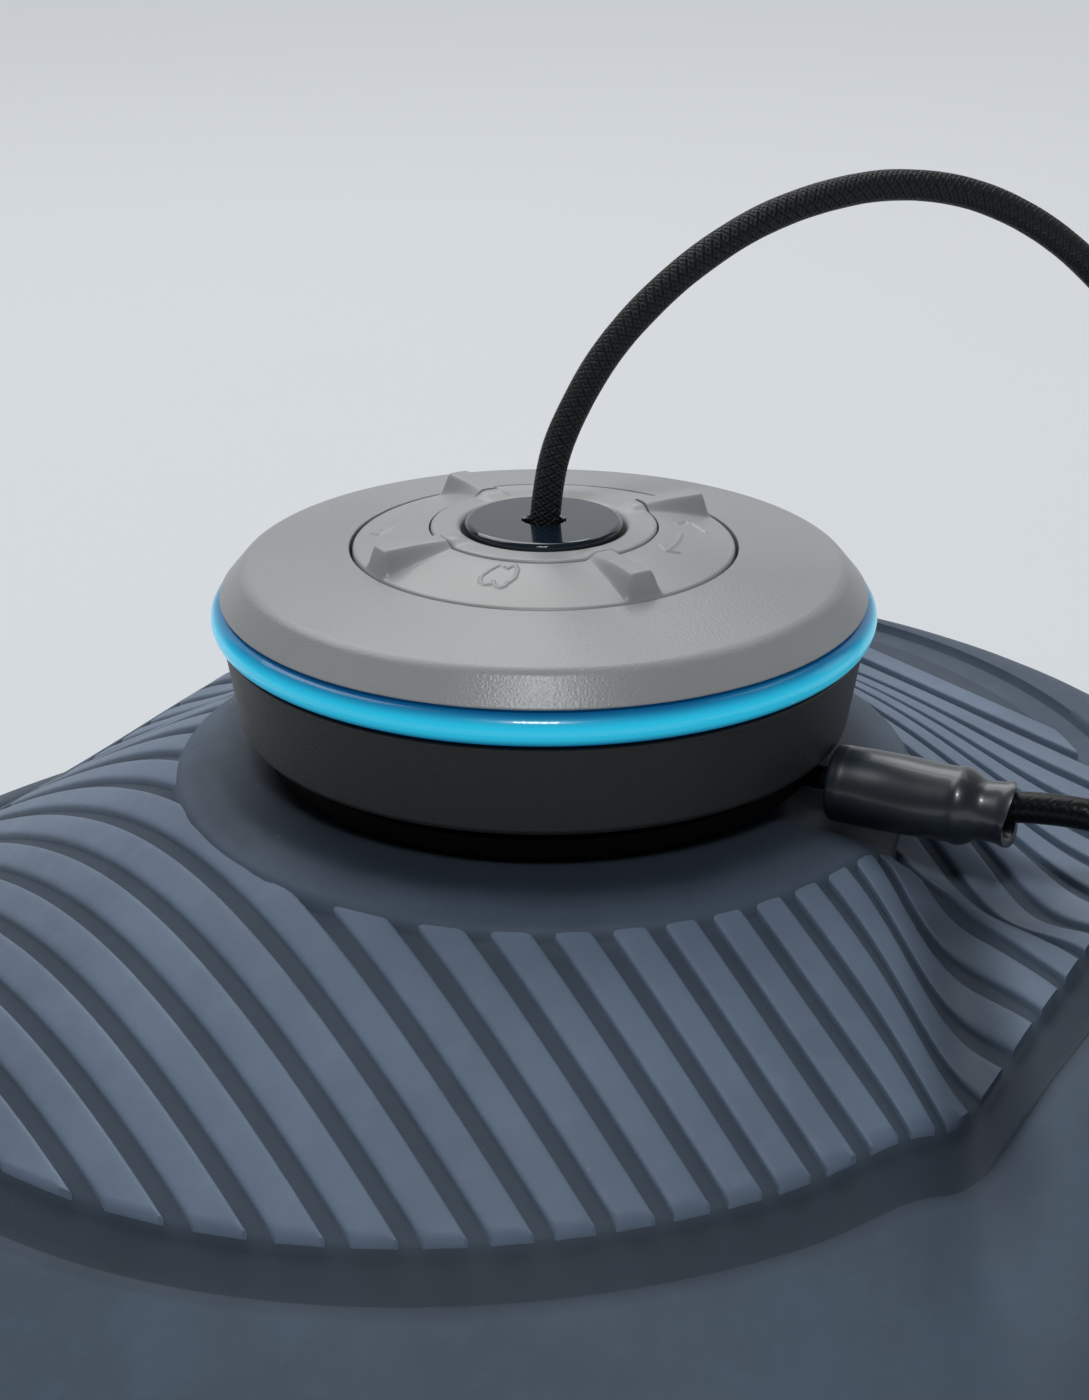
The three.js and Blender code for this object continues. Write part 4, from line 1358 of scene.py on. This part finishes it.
@dataclass
class Cords:
    """The hub cord and the side lead, with their coils, ties and plugs."""

    hub_centre: tuple[float, float] = (199.9, 84.7)
    side_centre: tuple[float, float] = (182.1, -118.1)
    outer_ring: float = 30.0
    inner_ring: float = 25.0
    tie_thick: float = 0.8
    hub_plug_x: float = 229.9
    hub_plug_z: float = 5.6

    def hub_cord(self) -> Cord:
        """The braided cord that comes up out of the hub button."""
        o, i = self.outer_ring, self.inner_ring
        lift = 2.5 + self.tie_thick + 0.1
        route = (
            (0, 0, 104), (0, 0, 113), (0.2, 0.1, 121.5), (1.9, 0.5, 132.3), (5.4, 1.4, 140.6),
            (10, 2.7, 148.2),
            (16.1, 4.3, 155.2), (24.4, 6.5, 162.2), (34.8, 9.3, 168.2), (46.4, 12.4, 171.8),
            (57, 15.3, 172.8),
            (69.5, 18.6, 170.8), (82.6, 22.1, 164.6), (94.7, 25.4, 154.6), (105.3, 28.2, 141),
            (114, 30.5, 124.5),
            (120.7, 32.4, 106.5), (126.1, 33.8, 89), (130.4, 34.9, 74.5), (134.7, 36.1, 63),
            (139.6, 37.4, 52.6),
            (144.9, 38.8, 43), (150.7, 40.4, 34.2), (156.5, 41.9, 27.2), (162.3, 43.5, 19.8),
            (167.1, 44.8, 12.6),
            (173.2, 46.4, 6.6), (180.6, 48.4, 3.2), (189.3, 50.7, 2.5), (198.5, 53.2, 2.6),
            (207.7, 55.7, lift))
        turns = ((o, 0), (i, 0), (i, 1), (o, 1), (i, 2), (o, 2))
        coil = Coil(self.hub_centre, -75, Turning.COUNTER, turns, 75, lift=lift)
        x = self.hub_plug_x
        tail = ((x, 94, 12.0), (x, 103.8, 10.4), (x, 110.5, 9.0), (x, 117.5, 7.2), (x, 125, 5.9),
                (x, 133, 5.6))
        return Cord("hub_line", route, coil, tail, BRAID)

    def side_lead(self) -> Cord:
        """The satin lead that leaves through the shrunk sleeve."""
        o, i = self.outer_ring, self.inner_ring
        lift = 2.5 + self.tie_thick + 0.1
        route = (
            (68.9, -32.1, 84.9), (73.6, -34.3, 85.5), (77, -35.9, 86), (83.4, -38.9, 86.4),
            (89.7, -41.8, 85.4),
            (96.1, -44.8, 82.6), (102.4, -47.8, 78.4), (108.8, -50.7, 73.6), (115.1, -53.7, 68.8),
            (121.4, -56.6, 62.9), (127.8, -59.6, 55.2),
            (134.1, -62.5, 45.6), (140, -65.3, 36.4), (145.9, -68, 28.4), (151.9, -70.8, 20.2),
            (156.2, -72.8, 12.8),
            (161.3, -75.2, 6.9), (168.6, -78.6, 3.4), (177.6, -82.8, 2.5), (186.2, -86.9, 2.6),
            (194.8, -90.9, lift))
        turns = ((o, 0), (i, 0), (i, 1), (o, 1), (i, 2), (o, 2), (i, 3), (o, 3))
        coil = Coil(self.side_centre, 65, Turning.CLOCKWISE, turns, 65, lift=lift)
        tail = ((212.1, -128, 16.4), (212.1, -137.2, 14.2), (212.1, -144, 11.6), (212.1, -151.5, 8.2),
                (212.1, -159, 5.6), (212.1, -168.6, 4.6))
        return Cord("side_line", route, coil, tail, JACKET, ridges=20, ridge_height=0.03)

    def tie(self, name: str, centre: tuple[float, float], bearing: float, layers: int) -> bpy.types.Object:
        """A strap round one side of a coil.

        Args:
            name: The piece's name.
            centre: The coil's centre.
            bearing: Where on the coil it sits.
            layers: The coil's layers.

        Returns:
            The strap.
        """
        inner, outer = self.inner_ring - 2.6, self.outer_ring + 2.6
        low, high = self.tie_thick, self.tie_thick + 0.2 + 5.0 * layers + 0.2
        t = self.tie_thick
        width = 9.0
        part = bmesh.new()
        for grow, rounding in ((0, 1.6), (t, 2.4)):
            corners = [part.verts.new((x * MM, -width / 2 * MM, z * MM)) for x, z in (
                (inner - grow, low - grow), (outer + grow, low - grow), (outer + grow, high + grow),
                (inner - grow, high + grow))]
            for a, b in zip(corners, corners[1:] + corners[:1]):
                part.edges.new((a, b))
            for corner in corners:
                bmesh.ops.bevel(part, geom=[corner], offset=rounding * MM, offset_type="OFFSET",
                                affect="VERTICES", segments=5, profile=0.5, material=-1)
        bmesh.ops.bridge_loops(part, edges=part.edges[:])
        lifted = bmesh.ops.extrude_face_region(part, geom=part.faces[:])["geom"]
        verts = [item for item in lifted if isinstance(item, bmesh.types.BMVert)]
        bmesh.ops.translate(part, verts=verts, vec=(0, width * MM, 0))
        bmesh.ops.recalc_face_normals(part, faces=part.faces)
        place = Matrix.Translation((centre[0] * MM, centre[1] * MM,
                                    0)) @ Matrix.Rotation(math.radians(bearing), 4, "Z")
        blank = Blank().take(part, place)
        buckle = Blank().block((outer - 7, -width / 2 - 1, high + t),
                               (outer - 3, width / 2 + 1, high + t + 1.1), 0.35)
        bmesh.ops.transform(buckle.bm, matrix=place, verts=buckle.bm.verts)
        blank.take(buckle.bm)
        strap = blank.piece(name, TIE)
        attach(strap, "cushion")
        return strap

    def hub_plug(self) -> list[bpy.types.Object]:
        """The barrel connector: ribbed strain relief, knurled barrel and plated tip."""
        base = Matrix.Translation((self.hub_plug_x * MM, 0,
                                   self.hub_plug_z * MM)) @ Matrix.Rotation(-math.pi / 2, 4, "X")
        relief: list[Point] = [(2.62, 131, 0.1), (3.0, 131, 0.15)]
        for k in range(4):
            s = 131.8 + 1.5 * k
            relief += [(3.1 + 0.35 * k, s, 0.15), (3.2 + 0.35 * k, s + 0.8, 0.15),
                       (2.75 + 0.4 * k, s + 0.9, 0.1), (2.8 + 0.4 * k, s + 1.4, 0.1)]
        barrel = [(5.1, 138, 0.4), (5.55, 138.8, 0.3), (5.55, 151.6, 0.3), (5.1, 152.1, 0.2),
                  (5.1, 152.8, 0.2), (5.4, 153.2, 0.2),
                  (5.4, 154, 0.3), (4.6, 156, 0.3), (0, 156, 0), (0, 138, 0)]
        blank = Blank().turn([*relief, (4.2, 137.9, 0.1), (2.62, 137.9, 0)], steps=64, place=base)
        blank.turn([(0, 138, 0), *barrel[:-1]], steps=64, place=base)
        count = 20
        for k in range(count):
            spin = base @ Matrix.Rotation(TURN * k / count, 4, "Z")
            bar = Blank().block((5.2, -0.32, 140), (5.6, 0.32, 150.4), 0.12, 2)
            bmesh.ops.transform(bar.bm, matrix=spin, verts=bar.bm.verts)
            blank.take(bar.bm)
        body = blank.piece("hub_plug_body", PLUG)
        tip = Blank().turn([
            (0, 156.1, 0), (2.75, 156.1, 0.1), (2.75, 157, 0.1), (2.6, 157.2, 0.05), (2.75, 157.4, 0.05),
            (2.75, 165.8, 0.3),
            (2.4, 166.3, 0.2), (1.5, 166.3, 0.2), (1.3, 166, 0.1), (1.3, 159, 0), (0, 159, 0)],
            steps=64, place=base).piece("hub_plug_barrel", PLATED)
        pin = Blank().turn([(0, 158.9, 0), (0.55, 158.9, 0), (0.55, 164.6, 0.2), (0.2, 165.2, 0.1),
                            (0, 165.2, 0)],
                           steps=32, place=base).piece("hub_plug_pin", PLATED)
        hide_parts("hub_cord_plug")
        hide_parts("hub_cord_plug_tip")
        return [body, tip, pin]

    def side_plug(self) -> list[bpy.types.Object]:
        """The flat plug: moulded grip with ridges, and a plated shell round a tongue."""
        x, mid = 212.1, 4.6
        blank = Blank().block((206.1, -191.1, 0.5), (218.1, -171.5, 8.7), 1.3, 5)
        for k in range(5):
            y = -188.4 + 2.6 * k
            blank.block((207.6, y, 8.45), (216.6, y + 1.1, 8.95), 0.2)
            blank.block((207.6, y, 0.3), (216.6, y + 1.1, 0.75), 0.2)
        base = Matrix.Translation((x * MM, 0, mid * MM)) @ Matrix.Rotation(math.pi / 2, 4, "X")
        relief: list[Point] = [(2.62, 166.9, 0.1), (3.0, 166.9, 0.15)]
        for k in range(3):
            s = 167.4 + 1.5 * k
            relief += [(3.1 + 0.25 * k, s, 0.1), (3.2 + 0.25 * k, s + 0.8, 0.1),
                       (2.8 + 0.3 * k, s + 0.9, 0.1), (2.85 + 0.3 * k, s + 1.4, 0.1)]
        blank.turn([*relief, (3.6, 172, 0.1), (2.62, 172, 0)], steps=48, place=base)
        body = blank.piece("side_plug_body", PLUG)
        shell = bmesh.new()
        bmesh.ops.create_cube(shell, size=1.0)
        bmesh.ops.scale(shell, verts=shell.verts, vec=(11.4 * MM, 12 * MM, 4.4 * MM))
        bmesh.ops.translate(shell, verts=shell.verts, vec=(x * MM, -197.3 * MM, mid * MM))
        front = [f for f in shell.faces if f.normal.y < -0.9]
        bmesh.ops.inset_region(shell, faces=front, thickness=0.35 * MM, use_even_offset=True)
        pushed = bmesh.ops.extrude_face_region(shell, geom=[f for f in shell.faces if f in front])["geom"]
        verts = [item for item in pushed if isinstance(item, bmesh.types.BMVert)]
        bmesh.ops.translate(shell, verts=verts, vec=(0, 10.5 * MM, 0))
        bmesh.ops.delete(shell, geom=front, context="FACES_ONLY")
        bmesh.ops.recalc_face_normals(shell, faces=shell.faces)
        metal = Blank().take(shell).piece("side_plug_can", PLATED)
        bend = metal.modifiers.new("soft_edges", "BEVEL")
        bend.width = 0.3 * MM
        bend.segments = 3
        tongue = Blank().block((207.3, -202.4, 4.7), (216.9, -192.2, 6.1), 0.15,
                               2).piece("side_plug_tongue", PLUG)
        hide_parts("side_lead_plug")
        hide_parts("side_lead_plug_shell")
        return [body, metal, tongue]

    def build(self) -> None:
        hub, hub_path, hub_length = self.hub_cord().build()
        side, side_path, side_length = self.side_lead().build()
        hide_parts("hub_cord", "hub_cord_coil", "hub_cord_tail")
        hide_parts("side_lead", "side_lead_coil", "side_lead_tail")
        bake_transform(hub)
        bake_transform(side)
        hub_ties = [self.tie(f"hub_tie_{k + 1}", self.hub_centre, a, 3) for k, a in enumerate((30, 165))]
        side_ties = [self.tie(f"side_tie_{k + 1}", self.side_centre, a, 4) for k, a in enumerate((150, 320))]
        hub_plug, side_plug = self.hub_plug(), self.side_plug()
        for part in (*hub_plug, *side_plug):
            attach(part, "cushion")
        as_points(hub_path)
        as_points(side_path)
        LOG.info("hub cord %.3f m, side lead %.3f m", hub_length, side_length)


# ---- carried-over inner parts ----------------------------------------------------------------


@dataclass
class Insides:
    """The frame's own nodes that stay in sight when a cover comes off, each with its finish."""

    finishes: dict[str, Finish] = field(default_factory=lambda: {
        "valve_body": FLANGE, "clamp_plate": STEEL, "led_board": BOARD, "control_board": BOARD,
        "dial_seal": GRIP_RUBBER, "lock_ring": HOUSING, "hub_core": HOUSING, "cord_ferrule": STEEL,
        "button_spring": STEEL, "collet": STEEL, "lead_socket": FLANGE})

    def build(self) -> None:
        """Gives every node that is still shown its finish."""
        for name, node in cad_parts.items():
            if node.hide_render:
                continue
            finish = STEEL if "screw" in name else self.finishes[name]
            for slot in node.material_slots:
                slot.material = finish.material()
            LOG.info("%s: finished as %s", name, finish.name)


# ---- studio ----------------------------------------------------------------------------------


@dataclass(frozen=True)
class Studio:
    """Plain pale floor that rises into a backdrop, soft lights and the camera."""

    camera_place: Point = (0.0001, -0.3438, 0.2349)
    camera_pitch: float = 67.01
    lens: float = 56.571
    floor_colour: Colour = (0.27, 0.281, 0.294)

    def floor(self) -> None:
        """A wide floor sheet that curves up behind."""
        part = bmesh.new()
        edge = [part.verts.new(p) for p in ((-6, -4, 0), (-6, 4.5, 0), (-6, 6, 1.5), (-6, 6, 5))]
        for a, b in zip(edge, edge[1:]):
            part.edges.new((a, b))
        bmesh.ops.bevel(part, geom=edge[1:3], offset=0.9, offset_type="OFFSET", affect="VERTICES",
                        segments=8, profile=0.5, material=-1)
        lifted = bmesh.ops.extrude_edge_only(part, edges=part.edges[:])["geom"]
        verts = [item for item in lifted if isinstance(item, bmesh.types.BMVert)]
        bmesh.ops.translate(part, verts=verts, vec=(12, 0, 0))
        bmesh.ops.recalc_face_normals(part, faces=part.faces)
        mesh = bpy.data.meshes.new("studio_floor")
        part.to_mesh(mesh)
        part.free()
        mesh.shade_smooth()
        finish = StudioPaper("studio_floor", self.floor_colour, 0.85, wander=0.004, patch=2.0, shine=0.0)
        mesh.materials.append(finish.material())
        floor = bpy.data.objects.new("studio_floor", mesh)
        bpy.context.scene.collection.objects.link(floor)

    def light(self, name: str, place: Point, target: Point, size: tuple[float, float], power: float,
              colour: Colour) -> None:
        """Adds one rectangular soft light.

        Args:
            name: The light's name.
            place: Where it stands.
            target: What it points at.
            size: Its width and height.
            power: Its power in watts.
            colour: Its tint.
        """
        data = bpy.data.lights.new(name, "AREA")
        data.shape = "RECTANGLE"
        data.size, data.size_y = size
        data.energy = power
        data.color = colour
        lamp = bpy.data.objects.new(name, data)
        lamp.location = place
        lamp.rotation_mode = "QUATERNION"
        lamp.rotation_quaternion = (Vector(target) - Vector(place)).to_track_quat("-Z", "Y")
        bpy.context.scene.collection.objects.link(lamp)

    def build(self) -> None:
        """Sets up floor, lights, surroundings and camera."""
        self.floor()
        self.light("overhead", (-0.35, 0.75, 1.25), (0, 0, 0.08), (1.5, 0.9), 9, (1.0, 1.0, 0.995))
        self.light("front_top", (-0.04, -0.74, 1.16), (0, 0, 0.08), (0.26, 0.18), 6.0, (0.95, 0.98, 1.0))
        self.light("right_edge", (1.2, 0.5, 0.5), (0.05, 0, 0.09), (0.4, 0.6), 0.5, (0.95, 0.98, 1.0))
        self.light("backdrop", (0, 2.6, 3.2), (0, 2.4, 0), (5.0, 3.0), 52, (1.0, 1.0, 1.0))
        world = bpy.data.worlds.new("studio_air")
        world.use_nodes = True
        air = world.node_tree.nodes["Background"]
        air.inputs["Color"].default_value = (0.80, 0.85, 0.92, 1)
        air.inputs["Strength"].default_value = 0.10
        scene = bpy.context.scene
        scene.world = world
        scene.view_settings.view_transform = "Standard"
        data = bpy.data.cameras.new("camera")
        data.sensor_width = 36
        data.lens = self.lens
        data.clip_start = 0.01
        data.clip_end = 50
        camera = bpy.data.objects.new("camera", data)
        camera.location = self.camera_place
        camera.rotation_euler = (math.radians(self.camera_pitch), 0, 0)
        scene.collection.objects.link(camera)
        scene.camera = camera


def main() -> None:
    """Builds every sub-assembly in order."""
    logging.basicConfig(level=logging.INFO, format="%(name)s: %(message)s")
    for assembly in (Cords(), Cushion(), Puck(), Dial(), HubButton(), Insides(), Studio()):
        assembly.build()
        LOG.info("%s is built", type(assembly).__name__)


if __name__ == "__main__":
    main()
